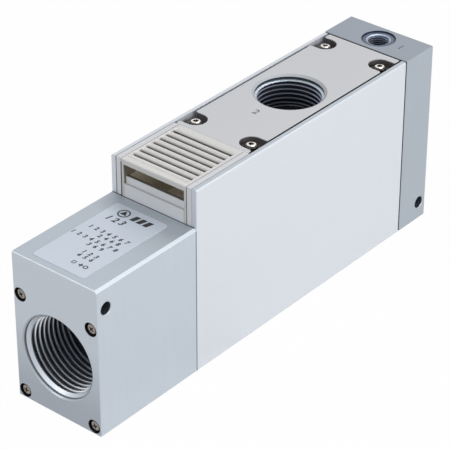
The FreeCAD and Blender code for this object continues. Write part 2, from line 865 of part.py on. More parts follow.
def make_diffuser(number, side):
    """Turned diffuser with a bell mouth, a straight throat and a slow taper to its exit."""
    sizes = diffusers[number]
    rear_face = body_rear - chambers[number][1]
    inlet, outlet = diffuser_span(number)
    bell_end = inlet - diffuser_mouth_length
    throat_end = bell_end - (inlet - outlet) * diffuser_throat_share
    outer = sizes["outer"]
    flange = outer + diffuser_flange_step
    outline = [
        (inlet, sizes["mouth"]),
        (inlet, outer),
        (rear_face + diffuser_flange_length, outer),
        (rear_face + diffuser_flange_length, flange),
        (rear_face, flange),
        (rear_face, outer),
        (outlet, outer),
        (outlet, sizes["exit"]),
        (throat_end, sizes["throat"]),
        (bell_end, sizes["throat"]),
    ]
    return turned_x(outline, side * ejector_offset, duct_axis_height)


# Check valves over the second and third suction windows

def valve_screw_places(number):
    """Return the two screw places at the rear edge of a valve flap."""
    high = suction_window(number)[1]
    return [(high - flap_gap - valve_clamp_width / 2, side * valve_screw_offset) for side in (-1, 1)]


def valve_screw_holes(number, z_span):
    """Return the two screw hole cutters of one valve."""
    return [rod_z(z_span, valve_screw_radius, x, y) for x, y in valve_screw_places(number)]


def make_valve_seat(number):
    """Plate on the web with two ports that its flap covers from below."""
    low, high = suction_window(number)
    half = window_half_width + valve_seat_lap
    z_span = (web_top, web_top + valve_seat_thickness)
    plate = block((low - valve_seat_lap, high + valve_seat_lap), (-half, half), z_span)
    port_end = high - flap_gap - valve_clamp_width - valve_port_margin / 2
    tools = valve_screw_holes(number, z_span)
    for side in (-1, 1):
        middle = side * window_half_width / 2
        y_span = (middle - valve_port_width / 2, middle + valve_port_width / 2)
        tools.append(block((low + valve_port_margin, port_end), y_span, z_span))
    return cut_all(plate, tools)


def make_valve_flap(number):
    """Rubber flap under a valve seat, held at its rear edge."""
    low, high = suction_window(number)
    half = window_half_width - flap_gap
    z_span = (web_top - flap_thickness, web_top)
    sheet = block((low + flap_gap, high - flap_gap), (-half, half), z_span)
    return cut_all(sheet, valve_screw_holes(number, z_span))


def make_valve_clamps():
    """Two metal strips that clamp the flaps along their rear edge."""
    strips = []
    half = window_half_width - flap_gap
    clamp_top = web_top - flap_thickness
    z_span = (clamp_top - clamp_thickness, clamp_top)
    for number in (1, 2):
        high = suction_window(number)[1] - flap_gap
        strip = block((high - valve_clamp_width, high), (-half, half), z_span)
        strips.append(strip.cut(valve_screw_holes(number, z_span)))
    return Part.makeCompound(strips)


def make_valve_screws():
    """Four small screws through seat, flap and clamp."""
    screws = []
    top = web_top + valve_seat_thickness
    low = web_top - flap_thickness - clamp_thickness
    for number in (1, 2):
        for x, y in valve_screw_places(number):
            shank = rod_z((low, top), valve_screw_radius - seat_gap, x, y)
            head = rod_z((top, top + valve_screw_head_height), valve_screw_head_radius, x, y)
            screws.append(merged([shank, head]))
    return Part.makeCompound(screws)


def main():
    """Build every sub-part and write one file for each."""
    os.makedirs("parts", exist_ok=True)
    save("body_extrusion", make_body_extrusion())
    save("exhaust_block", make_exhaust_block())
    save("exhaust_block_screws", make_exhaust_block_screws())
    save("exhaust_gasket", make_exhaust_gasket())
    save("label", make_label())
    save("supply_block", make_supply_block())
    save("supply_block_screws", make_supply_block_screws())
    save("supply_gasket", make_supply_gasket())
    save("port_block", make_port_block())
    save("port_block_screws", make_port_block_screws())
    save("port_block_gasket", make_port_block_gasket())
    save("filter_screen", make_filter_screen())
    save("filter_ring", make_filter_ring())
    save("bulkhead", make_bulkhead())
    save("bulkhead_seal", make_bulkhead_seal())
    save("casing", make_casing())
    save("casing_screws", make_casing_screws())
    save("louvre_cover", make_louvre_cover())
    save("blanking_insert", make_blanking_insert())
    save("nozzle_holder", make_nozzle_holder())
    save("nozzle_seals", make_nozzle_seals())
    for side, hand in ((-1, "right"), (1, "left")):
        save("nozzle_" + hand, make_nozzle(side))
    for number, stage in enumerate(("first", "second", "third")):
        save(stage + "_partition", make_partition(number))
        for side, hand in ((-1, "right"), (1, "left")):
            save(stage + "_diffuser_" + hand, make_diffuser(number, side))
    for number, stage in ((1, "second"), (2, "third")):
        save(stage + "_valve_seat", make_valve_seat(number))
        save(stage + "_valve_flap", make_valve_flap(number))
    save("valve_clamps", make_valve_clamps())
    save("valve_screws", make_valve_screws())


main()
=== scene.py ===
"""Looks of a vacuum ejector: finishes, port threads, screws, label print, filter mesh, studio and camera.

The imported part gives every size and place. Blender works in metres, and sizes here are in millimetres.
"""

import json
import logging
import math
from contextlib import contextmanager
from dataclasses import dataclass, field, replace
from enum import Enum
from typing import Callable, Iterator

import bmesh
import bpy
from mathutils import Matrix, Vector

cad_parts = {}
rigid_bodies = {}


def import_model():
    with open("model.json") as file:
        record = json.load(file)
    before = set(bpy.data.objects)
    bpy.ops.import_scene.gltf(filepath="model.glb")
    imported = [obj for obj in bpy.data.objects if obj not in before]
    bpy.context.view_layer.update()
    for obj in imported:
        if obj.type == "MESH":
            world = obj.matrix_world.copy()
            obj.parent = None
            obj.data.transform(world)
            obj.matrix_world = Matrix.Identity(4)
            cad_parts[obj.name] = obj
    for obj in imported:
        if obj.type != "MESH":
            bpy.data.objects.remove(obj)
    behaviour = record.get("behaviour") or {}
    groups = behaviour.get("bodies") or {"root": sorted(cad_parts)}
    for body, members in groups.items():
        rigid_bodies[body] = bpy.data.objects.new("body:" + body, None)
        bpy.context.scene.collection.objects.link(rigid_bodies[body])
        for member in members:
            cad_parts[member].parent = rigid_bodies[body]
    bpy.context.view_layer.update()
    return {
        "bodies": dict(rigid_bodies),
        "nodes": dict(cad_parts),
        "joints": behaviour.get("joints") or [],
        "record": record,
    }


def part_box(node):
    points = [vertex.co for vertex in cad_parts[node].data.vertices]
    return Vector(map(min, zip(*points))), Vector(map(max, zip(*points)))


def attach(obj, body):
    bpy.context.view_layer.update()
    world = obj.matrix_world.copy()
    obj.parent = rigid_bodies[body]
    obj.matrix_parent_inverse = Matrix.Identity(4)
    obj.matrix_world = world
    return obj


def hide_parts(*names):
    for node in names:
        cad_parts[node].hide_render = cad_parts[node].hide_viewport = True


LOG = logging.getLogger("vacuum_ejector")
MM = 0.001
BODY = "root"
FULL_TURN = 2 * math.pi
QUARTER_TURN = math.pi / 2
# How far a thread's foot is sunk into the wall of its bore, in millimetres.
EMBED = 0.03
# Corners of the solids that lie closer together than this are one corner, in metres.
WELD = 1e-6
# Corners of a swept outline that lie closer together than this are one corner, in millimetres.
SWEEP_WELD = 0.001
# Places are compared to this many decimals of a metre.
DECIMALS = 5
# Sockets of a mix node: its share, then the first, the second and the result for values and for colours.
SHARE = 0
VALUE_A, VALUE_B, VALUE_OUT = 2, 3, 0
COLOUR_A, COLOUR_B, COLOUR_OUT = 6, 7, 2

Piece = bpy.types.Object
Tree = bpy.types.NodeTree
Socket = bpy.types.NodeSocket
Point = tuple[float, float, float]
Span = tuple[float, float]


class Marks(Enum):
    """How a surface was made: the scale of its fine marks along each axis of the part."""

    DRAWN = (0.02, 1.0, 1.0)
    MILLED = (1.0, 1.0, 0.04)
    BLASTED = (1.0, 1.0, 1.0)
    MOULDED = (0.7, 0.7, 0.7)
    TURNED = (1.0, 0.1, 0.1)


class Form(Enum):
    """The form of a zone: a box, or a bar that fills the box along one axis."""

    BOX = (1.0, 1.0, 1.0)
    BAR_X = (0.0, 1.0, 1.0)
    BAR_Y = (1.0, 0.0, 1.0)
    BAR_Z = (1.0, 1.0, 0.0)

    @property
    def along(self) -> int:
        """Return the number of a bar's own axis."""
        return self.value.index(0.0)


class Axis(Enum):
    """The direction that a turned piece's own Z axis points to in the part."""

    PLUS_X = (math.pi / 2, 0.0)
    MINUS_X = (-math.pi / 2, 0.0)
    PLUS_Z = (0.0, 0.0)
    MINUS_Z = (0.0, math.pi)

    @property
    def form(self) -> Form:
        """Return the form of a bar in this direction."""
        return Form.BAR_X if self in (Axis.PLUS_X, Axis.MINUS_X) else Form.BAR_Z

    @property
    def sign(self) -> int:
        """Return 1 for a direction along the part's axis and -1 for one against it."""
        return 1 if self in (Axis.PLUS_X, Axis.PLUS_Z) else -1

    def placed(self, place: Vector) -> Matrix:
        """Return the move of a piece from its own axes, in millimetres, to its place in the part.

        Args:
            place: The place of the piece's origin, in metres.

        Returns:
            The matrix of the move.
        """
        about_y, about_x = self.value
        turn = Matrix.Rotation(about_y, 4, "Y") @ Matrix.Rotation(about_x, 4, "X")
        return Matrix.Translation(place) @ turn @ Matrix.Scale(MM, 4)


def linear_colour(code: str) -> tuple[float, float, float, float]:
    """Turn an sRGB hex colour into linear red, green, blue and alpha.

    Args:
        code: Six hex digits.

    Returns:
        The linear colour with alpha 1.
    """
    shares = [int(code[start:start + 2], 16) / 255 for start in (0, 2, 4)]
    linear = [share / 12.92 if share <= 0.04045 else ((share + 0.055) / 1.055) ** 2.4 for share in shares]
    return linear[0], linear[1], linear[2], 1.0


def fresh_tree(owner: bpy.types.ID) -> Tree:
    """Switch on the nodes of a material or a world and empty its tree.

    Args:
        owner: The material or the world.

    Returns:
        Its tree.
    """
    owner.use_nodes = True
    owner.node_tree.nodes.clear()
    return owner.node_tree


def add_node(tree: Tree, kind: str, settings: dict, links: dict) -> bpy.types.Node:
    """Add a node with its settings and its links.

    Args:
        tree: The tree that takes the node.
        kind: The node's type name.
        settings: Values by the name of a node property or of an input.
        links: Output sockets by the name or number of the input that they feed.

    Returns:
        The new node.
    """
    node = tree.nodes.new(kind)
    own = [name for name in settings if isinstance(name, str) and name in node.bl_rna.properties]
    for name in own:
        setattr(node, name, settings[name])
    for name, value in settings.items():
        if name not in own:
            node.inputs[name].default_value = value
    for name, socket in links.items():
        tree.links.new(socket, node.inputs[name])
    return node


def axis_distance(tree: Tree, form: Form, place: Socket) -> Socket:
    """Add the nodes that give the distance of a place from a bar's axis.

    Args:
        tree: The material's tree.
        form: The bar form.
        place: The place, from a point on the axis.

    Returns:
        The socket with the distance.
    """
    flat = add_node(tree, "ShaderNodeVectorMath", {"operation": "MULTIPLY", 1: form.value}, {0: place})
    span = add_node(tree, "ShaderNodeVectorMath", {"operation": "LENGTH"}, {0: flat.outputs[0]})
    return span.outputs["Value"]


@dataclass(frozen=True)
class Shade:
    """The look of a zone: its colour, its roughness and how softly it ends."""

    colour: str
    roughness: float = 0.6
    softness: float = 0.004


@dataclass(frozen=True)
class Zone:
    """A part of a surface with its own shade, inside a box or a round bar."""

    form: Form
    low: Point
    high: Point
    shade: Shade

    def mask(self, tree: Tree, place: Socket) -> Socket:
        """Add the nodes that give 1 inside the zone and 0 outside it.

        Args:
            tree: The material's tree.
            place: The object coordinates.

        Returns:
            The socket with the mask.
        """
        middle = (Vector(self.low) + Vector(self.high)) / 2
        half = (Vector(self.high) - Vector(self.low)) / 2
        moved = add_node(tree, "ShaderNodeVectorMath", {"operation": "SUBTRACT", 1: middle}, {0: place})
        unit = add_node(tree, "ShaderNodeVectorMath", {"operation": "DIVIDE", 1: half}, {0: moved.outputs[0]})
        size = add_node(tree, "ShaderNodeVectorMath", {"operation": "ABSOLUTE"}, {0: unit.outputs[0]})
        reach = list(add_node(tree, "ShaderNodeSeparateXYZ", {}, {0: size.outputs[0]}).outputs)
        if self.form != Form.BOX:
            reach = [axis_distance(tree, self.form, unit.outputs[0]), reach[self.form.along]]
        largest = reach[0]
        for other in reach[1:]:
            node = add_node(tree, "ShaderNodeMath", {"operation": "MAXIMUM"}, {0: largest, 1: other})
            largest = node.outputs[0]
        edge = {"From Min": 1 + self.shade.softness, "From Max": 1 - self.shade.softness}
        return add_node(tree, "ShaderNodeMapRange", edge, {"Value": largest}).outputs[0]


def bar_zone(form: Form, centre: Vector, radius: float, span: Span, shade: Shade) -> Zone:
    """Return a round zone about an axis of the part.

    Args:
        form: The bar form that names the axis.
        centre: A point on the axis, in metres.
        radius: The radius in millimetres.
        span: The limits along the axis from the centre, in millimetres.
        shade: The look inside.

    Returns:
        The zone.
    """
    low = [value - radius * MM for value in centre]
    high = [value + radius * MM for value in centre]
    low[form.along] = centre[form.along] + min(span) * MM
    high[form.along] = centre[form.along] + max(span) * MM
    return Zone(form, tuple(low), tuple(high), shade)


def box_zone(box: tuple[Vector, Vector], shade: Shade, **limits: float) -> Zone:
    """Return a zone over the box of a node, a millimetre larger on each side that has no limit of its own.

    Args:
        box: The low and the high corner of the node's box, in metres.
        shade: The look inside.
        limits: The place of the front, near, foot, rear, far or top side, in metres.

    Returns:
        The zone.
    """
    low, high = box
    sides = {"front": low.x - MM, "near": low.y - MM, "foot": low.z - MM}
    sides |= {"rear": high.x + MM, "far": high.y + MM, "top": high.z + MM}
    places = tuple((sides | limits).values())
    return Zone(Form.BOX, places[:3], places[3:], shade)


@dataclass(frozen=True)
class Groove:
    """Painted shade of a thread by depth in its groove: the crests keep the metal's colour and the roots are
    painted dark.
    """

    mouth: Point
    form: Form
    crest_mm: float
    root_mm: float
    colour: str
    lean: float

    def share(self, tree: Tree, place: Socket) -> Socket:
        """Add the nodes that give 0 on the crests and 1 in the roots.

        Args:
            tree: The material's tree.
            place: The object coordinates.

        Returns:
            The socket with the share.
        """
        moved = add_node(tree, "ShaderNodeVectorMath", {"operation": "SUBTRACT", 1: self.mouth}, {0: place})
        parts = add_node(tree, "ShaderNodeSeparateXYZ", {}, {0: moved.outputs[0]})
        span = axis_distance(tree, self.form, moved.outputs[0])
        lean = {"operation": "MULTIPLY_ADD", 1: self.lean}
        radius = add_node(tree, "ShaderNodeMath", lean, {0: parts.outputs[self.form.along], 2: span})
        fade = {"interpolation_type": "SMOOTHSTEP"}
        fade |= {"From Min": self.crest_mm * MM, "From Max": self.root_mm * MM}
        return add_node(tree, "ShaderNodeMapRange", fade, {"Value": radius.outputs[0]}).outputs[0]


@dataclass(frozen=True)
class Finish:
    """One finish: what the real surface is, and what that gives the eye."""

    name: str
    colour: str
    deep_colour: str
    metallic: float
    roughness: float
    roughness_spread: float
    pattern: Marks
    grain_mm: float
    bump_mm: float
    zones: tuple[Zone, ...] = ()
    groove: Groove | None = None
    cloud_mm: float = 30.0
    grain_share: float = 0.6
    noise_detail: float = 3.0
    noise_roughness: float = 0.6

    def build(self) -> bpy.types.Material:
        """Make the material from the finish.

        Returns:
            The new material.
        """
        material = bpy.data.materials.new(self.name)
        tree = fresh_tree(material)
        place = add_node(tree, "ShaderNodeTexCoord", {}, {}).outputs["Object"]
        grain = self.noise(tree, place, self.pattern.value, self.grain_mm)
        cloud = self.noise(tree, place, (1.0, 1.0, 1.0), self.cloud_mm)
        share = {"data_type": "FLOAT", SHARE: self.grain_share}
        blend = add_node(tree, "ShaderNodeMix", share, {VALUE_A: cloud, VALUE_B: grain}).outputs[VALUE_OUT]
        deep = linear_colour(self.deep_colour)
        shades = {"data_type": "RGBA", COLOUR_A: deep, COLOUR_B: linear_colour(self.colour)}
        colour = add_node(tree, "ShaderNodeMix", shades, {SHARE: blend}).outputs[COLOUR_OUT]
        spread = {"To Min": self.roughness - self.roughness_spread}
        spread |= {"To Max": self.roughness + self.roughness_spread}
        rough = add_node(tree, "ShaderNodeMapRange", spread, {"Value": grain}).outputs[0]
        # Painted shade: the groove layer darkens a thread's roots by depth.
        if self.groove is not None:
            painted_root_shade = {"data_type": "RGBA", COLOUR_B: linear_colour(self.groove.colour)}
            links = {SHARE: self.groove.share(tree, place), COLOUR_A: colour}
            colour = add_node(tree, "ShaderNodeMix", painted_root_shade, links).outputs[COLOUR_OUT]
        for zone in self.zones:
            mask = zone.mask(tree, place)
            paint = {"data_type": "RGBA", COLOUR_B: linear_colour(zone.shade.colour)}
            links = {SHARE: mask, COLOUR_A: colour}
            colour = add_node(tree, "ShaderNodeMix", paint, links).outputs[COLOUR_OUT]
            level = {"data_type": "FLOAT", VALUE_B: zone.shade.roughness}
            rough = add_node(tree, "ShaderNodeMix", level, {SHARE: mask, VALUE_A: rough}).outputs[VALUE_OUT]
        relief = {"Strength": 1.0, "Distance": self.bump_mm * MM}
        bump = add_node(tree, "ShaderNodeBump", relief, {"Height": grain})
        links = {"Base Color": colour, "Roughness": rough, "Normal": bump.outputs[0]}
        shader = add_node(tree, "ShaderNodeBsdfPrincipled", {"Metallic": self.metallic}, links)
        add_node(tree, "ShaderNodeOutputMaterial", {}, {"Surface": shader.outputs[0]})
        return material

    def noise(self, tree: Tree, place: Socket, stretch: Point, size_mm: float) -> Socket:
        """Add noise of a real size, stretched along the marks of making.

        Args:
            tree: The material's tree.
            place: The object coordinates.
            stretch: The scale along each axis of the part.
            size_mm: The width of one grain.

        Returns:
            The socket with the noise from 0 to 1.
        """
        frame = add_node(tree, "ShaderNodeMapping", {"Scale": stretch}, {"Vector": place})
        grains = {"Scale": 1 / (size_mm * MM), "Detail": self.noise_detail, "Roughness": self.noise_roughness}
        return add_node(tree, "ShaderNodeTexNoise", grains, {"Vector": frame.outputs[0]}).outputs["Fac"]


# Clear anodised extruded aluminium: a pale satin skin with faint die lines along the body.
BODY_FINISH = Finish("anodised_extrusion", "D2D6DC", "CBD0D7", 0.5, 0.46, 0.03, Marks.DRAWN, 0.9, 0.004)
# Clear anodised milled aluminium: a little greyer, with faint upright cutter lines.
BLOCK_FINISH = Finish("anodised_milled_block", "C0C8D1", "B2BAC3", 0.5, 0.46, 0.05, Marks.MILLED, 0.9, 0.005)
# Clear anodising of the supply block, set a shade darker than the exhaust block.
SUPPLY_FINISH = Finish("anodised_supply_block", "A8B0B9", "9EA6AF", 0.5, 0.46, 0.05, Marks.MILLED, 0.9, 0.005)
# Blasted and coated aluminium: warmer, even grey that scatters light.
PORT_FINISH = Finish("blasted_port_aluminium", "C8C9CC", "C1C3C6", 0.4, 0.52, 0.04, Marks.BLASTED, 0.5, 0.008)
# Zinc plated steel: a dark base colour that stands in for dark reflections on the turned sides; the crowns
# are lighter only where painted highlight zones lie on them.
SCREW_FINISH = Finish("plated_screw_steel", "5C5753", "3E3A37", 1.0, 0.2, 0.05, Marks.TURNED, 0.6, 0.004)
# Stainless steel wire: grey, with a dull gleam.
SCREEN_FINISH = Finish("stainless_wire", "5C5F63", "46484B", 1.0, 0.35, 0.05, Marks.BLASTED, 0.4, 0.004)
# Nitrile rubber, moulded: black, dull, with a little bloom.
SEAL_FINISH = Finish("nitrile_rubber", "242527", "191A1C", 0.0, 0.62, 0.06, Marks.MOULDED, 0.8, 0.01)
# Ivory resin from a spark-eroded mould: warm white with a very fine grain.
CREAM_FINISH = Finish("ivory_moulded_resin", "DFDEDD", "D7D6D5", 0.0, 0.46, 0.05, Marks.MOULDED, 0.7, 0.008)
# Filled resin of the inner pieces: dark grey and dull.
INNER_FINISH = Finish("glass_filled_resin", "55575A", "46484B", 0.0, 0.55, 0.05, Marks.MOULDED, 0.8, 0.01)
# Printed polyester film: smooth, cool and a little paler than the metal below.
LABEL_FINISH = Finish("polyester_label_film", "C8D1DC", "C2CBD7", 0.2, 0.38, 0.02, Marks.MOULDED, 1.2, 0.002)
# Turned brass of the nozzles: yellow and bright, seen only when the block is taken off.
BRASS_FINISH = Finish("turned_brass", "C9A24E", "B48E3F", 1.0, 0.28, 0.05, Marks.TURNED, 0.5, 0.004)
# Turned aluminium of the diffusers: bare and bright.
DIFFUSER_FINISH = Finish("turned_aluminium", "B9BDC2", "A9ADB3", 1.0, 0.3, 0.05, Marks.TURNED, 0.5, 0.004)
# Cut thread in a port: bright crests, with painted shade that darkens the grooves by depth.
THREAD_FINISH = Finish("cut_thread_aluminium", "C9CFD6", "B7BEC6", 1.0, 0.3, 0.04, Marks.BLASTED, 0.5, 0.002)
# Screen ink on the label: near black and even.
INK_FINISH = Finish("label_ink", "1C1E21", "151719", 0.0, 0.5, 0.03, Marks.MOULDED, 0.8, 0.002)
# Grey paint that fills the engraved port numbers: dull.
FILL_FINISH = Finish("engraving_paint", "6C7378", "5E656A", 0.0, 0.55, 0.03, Marks.MOULDED, 0.8, 0.002)

SLOT_FINISHES = {
    "anodised_body": BODY_FINISH,
    "anodised_block": BLOCK_FINISH,
    "port_aluminium": PORT_FINISH,
    "screw_steel": SCREW_FINISH,
    "screen_steel": SCREEN_FINISH,
    "seal_rubber": SEAL_FINISH,
    "cream_resin": CREAM_FINISH,
    "inner_resin": INNER_FINISH,
    "label_film": LABEL_FINISH,
    "nozzle_brass": BRASS_FINISH,
    "diffuser_aluminium": DIFFUSER_FINISH,
}


@dataclass
class Bench:
    """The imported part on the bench, and one material for each finish that has been asked for."""

    frame: dict
    made: dict[str, bpy.types.Material] = field(default_factory=dict)

    def node(self, name: str) -> Piece:
        """Return a node of the part."""
        return self.frame["nodes"][name]

    def mount(self, name: str) -> Vector:
        """Return the place of a named mount, in metres."""
        places = {mount["name"]: mount["pos_m"] for mount in self.frame["record"]["mounts"]}
        return Vector(places[name])

    def dress(self, piece: Piece, finish: Finish) -> None:
        """Give a piece one finish all over, made the first time it is asked for.

        Args:
            piece: The mesh object.
            finish: Its finish.
        """
        if finish.name not in self.made:
            self.made[finish.name] = finish.build()
        piece.data.materials.clear()
        piece.data.materials.append(self.made[finish.name])
        LOG.info("%s takes %s", piece.name, finish.name)

    def dress_nodes(self) -> None:
        """Give every node of the part the finish of its material slot."""
        for entry in self.frame["record"]["subparts"]:
            self.dress(self.node(entry["node"]), SLOT_FINISHES[entry["material_slot"]])

    def settle(self, piece: Piece, name: str, slot: str, finish: Finish) -> None:
        """Name a finished piece, dress it, and let it ride on the part.

        Args:
            piece: The finished mesh object, its place in its mesh.
            name: The name of the piece.
            slot: The material slot of the record.
            finish: The finish of the piece.
        """
        piece.name = name
        piece.data.name = name
        self.dress(piece, finish)
        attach(piece, BODY)
        LOG.info("%s: %d faces", name, len(piece.data.polygons))


def deselect_all() -> None:
    """Leave edit mode and select nothing."""
    if bpy.context.object is not None and bpy.context.object.mode != "OBJECT":
        bpy.ops.object.mode_set(mode="OBJECT")
    bpy.ops.object.select_all(action="DESELECT")


def select_only(piece: Piece) -> None:
    """Select one object and make it active.

    Args:
        piece: The object.
    """
    deselect_all()
    piece.select_set(True)
    bpy.context.view_layer.objects.active = piece


@contextmanager
def editing(piece: Piece, selected: bool = False) -> Iterator[bmesh.types.BMesh]:
    """Open a piece in edit mode with all or nothing selected, and close it again.

    Args:
        piece: The mesh object to edit.
        selected: True to select all of it.

    Yields:
        The edit mesh, for selecting by place.
    """
    select_only(piece)
    bpy.ops.object.mode_set(mode="EDIT")
    bpy.ops.mesh.select_mode(type="VERT")
    bpy.ops.mesh.select_all(action="SELECT" if selected else "DESELECT")
    yield bmesh.from_edit_mesh(piece.data)
    bpy.ops.object.mode_set(mode="OBJECT")


def select_verts(piece: Piece, mesh: bmesh.types.BMesh, test: Callable[[Vector], bool]) -> None:
    """Select the vertices whose place passes a test, with the edges and faces between them.

    Args:
        piece: The mesh object.
        mesh: Its edit mesh.
        test: Tells whether a place is taken.
    """
    for vert in mesh.verts:
        vert.select = test(vert.co)
    mesh.select_flush(True)
    mesh.select_flush(False)
    bmesh.update_edit_mesh(piece.data)


def apply_modifier(piece: Piece, kind: str, settings: dict) -> None:
    """Add a modifier with its settings and apply it.

    Args:
        piece: The mesh object.
        kind: The modifier's type name.
        settings: Its settings by name.
    """
    select_only(piece)
    modifier = piece.modifiers.new(kind.lower(), kind)
    for name, value in settings.items():
        setattr(modifier, name, value)
    bpy.ops.object.modifier_apply(modifier=modifier.name)


def carve(piece: Piece, cutter: Piece) -> None:
    """Cut a cutter's form out of a piece and throw the cutter away."""
    apply_modifier(piece, "BOOLEAN", {"operation": "DIFFERENCE", "solver": "EXACT", "object": cutter})
    bpy.data.objects.remove(cutter)


def place_mesh(piece: Piece, matrix: Matrix) -> None:
    """Move a piece's mesh and leave its object at the origin."""
    piece.data.transform(matrix)
    piece.matrix_world = Matrix.Identity(4)


def copy_of(piece: Piece) -> Piece:
    """Return a copy of a piece with a mesh of its own.

    Args:
        piece: The mesh object.

    Returns:
        The copy.
    """
    select_only(piece)
    bpy.ops.object.duplicate()
    return bpy.context.object


def join(pieces: list[Piece]) -> Piece:
    """Join several pieces into the first of them.

    Args:
        pieces: The mesh objects.

    Returns:
        The joined piece.
    """
    select_only(pieces[0])
    for piece in pieces:
        piece.select_set(True)
    if len(pieces) > 1:
        bpy.ops.object.join()
    return bpy.context.object


def merge(piece: Piece, reach: float) -> None:
    """Merge the vertices that lie closer together than a reach, in the units of the mesh."""
    with editing(piece, selected=True):
        bpy.ops.mesh.remove_doubles(threshold=reach)


def face_out(piece: Piece) -> None:
    """Point every face outwards."""
    with editing(piece, selected=True):
        bpy.ops.mesh.normals_make_consistent(inside=False)


def close_mesh(piece: Piece) -> None:
    """Fill open ends and point every face outwards.

    Args:
        piece: The mesh object.
    """
    with editing(piece) as mesh:
        if any(edge.is_boundary for edge in mesh.edges):
            bpy.ops.mesh.select_non_manifold(extend=False)
            bpy.ops.mesh.fill()
    face_out(piece)


def smooth(piece: Piece, degrees: float) -> None:
    """Shade a piece smooth up to an angle between its faces."""
    select_only(piece)
    bpy.ops.object.shade_smooth_by_angle(angle=math.radians(degrees))


def cut_level(piece: Piece, height: float, side: int) -> None:
    """Cut away what lies above a height, or below it where side is -1, and close the cut."""
    with editing(piece, selected=True):
        bpy.ops.mesh.bisect(plane_co=(0, 0, height), plane_no=(0, 0, side), use_fill=True, clear_outer=True)


def swept_outline(points: list[Span], steps: int, closed: bool = True, **screw: float) -> Piece:
    """Sweep an outline of radius and height about the Z axis.

    Args:
        points: The corners of the outline, in order.
        steps: The steps of one turn.
        closed: True for a ring, False where both ends of the outline lie on the axis.
        screw: More settings of the Screw modifier, for a helix.

    Returns:
        The closed mesh, in millimetres.
    """
    deselect_all()
    bpy.ops.mesh.primitive_circle_add(vertices=len(points), radius=1.0)
    piece = bpy.context.object
    for vert, (radius, height) in zip(piece.data.vertices, points):
        vert.co = Vector((radius, 0, height))
    if not closed:
        with editing(piece) as mesh:
            mesh.verts.ensure_lookup_table()
            ends = {mesh.verts[0], mesh.verts[len(points) - 1]}
            bpy.ops.mesh.select_mode(type="EDGE")
            for edge in mesh.edges:
                edge.select = set(edge.verts) == ends
            bmesh.update_edit_mesh(piece.data)
            bpy.ops.mesh.delete(type="EDGE")
    turn = {"axis": "Z", "angle": FULL_TURN, "steps": steps, "render_steps": steps, "use_smooth_shade": False}
    apply_modifier(piece, "SCREW", turn | screw)
    merge(piece, SWEEP_WELD)
    close_mesh(piece)
    return piece


def loose_boxes(node: Piece) -> list[tuple[Vector, Vector]]:
    """Return the lowest and highest corners of each separate solid of a node.

    Args:
        node: A node of the part that groups equal solids.

    Returns:
        One pair of corners for each solid, in order along X, then Y, then Z.
    """
    copy = copy_of(node)
    merge(copy, WELD)
    with editing(copy):
        bpy.ops.mesh.separate(type="LOOSE")
    boxes = []
    for piece in list(bpy.context.selected_objects):
        axes = list(zip(*(vert.co for vert in piece.data.vertices)))
        boxes.append((Vector([min(axis) for axis in axes]), Vector([max(axis) for axis in axes])))
        bpy.data.objects.remove(piece)
    return sorted(boxes, key=lambda box: tuple(round(value, DECIMALS) for value in box[0]))


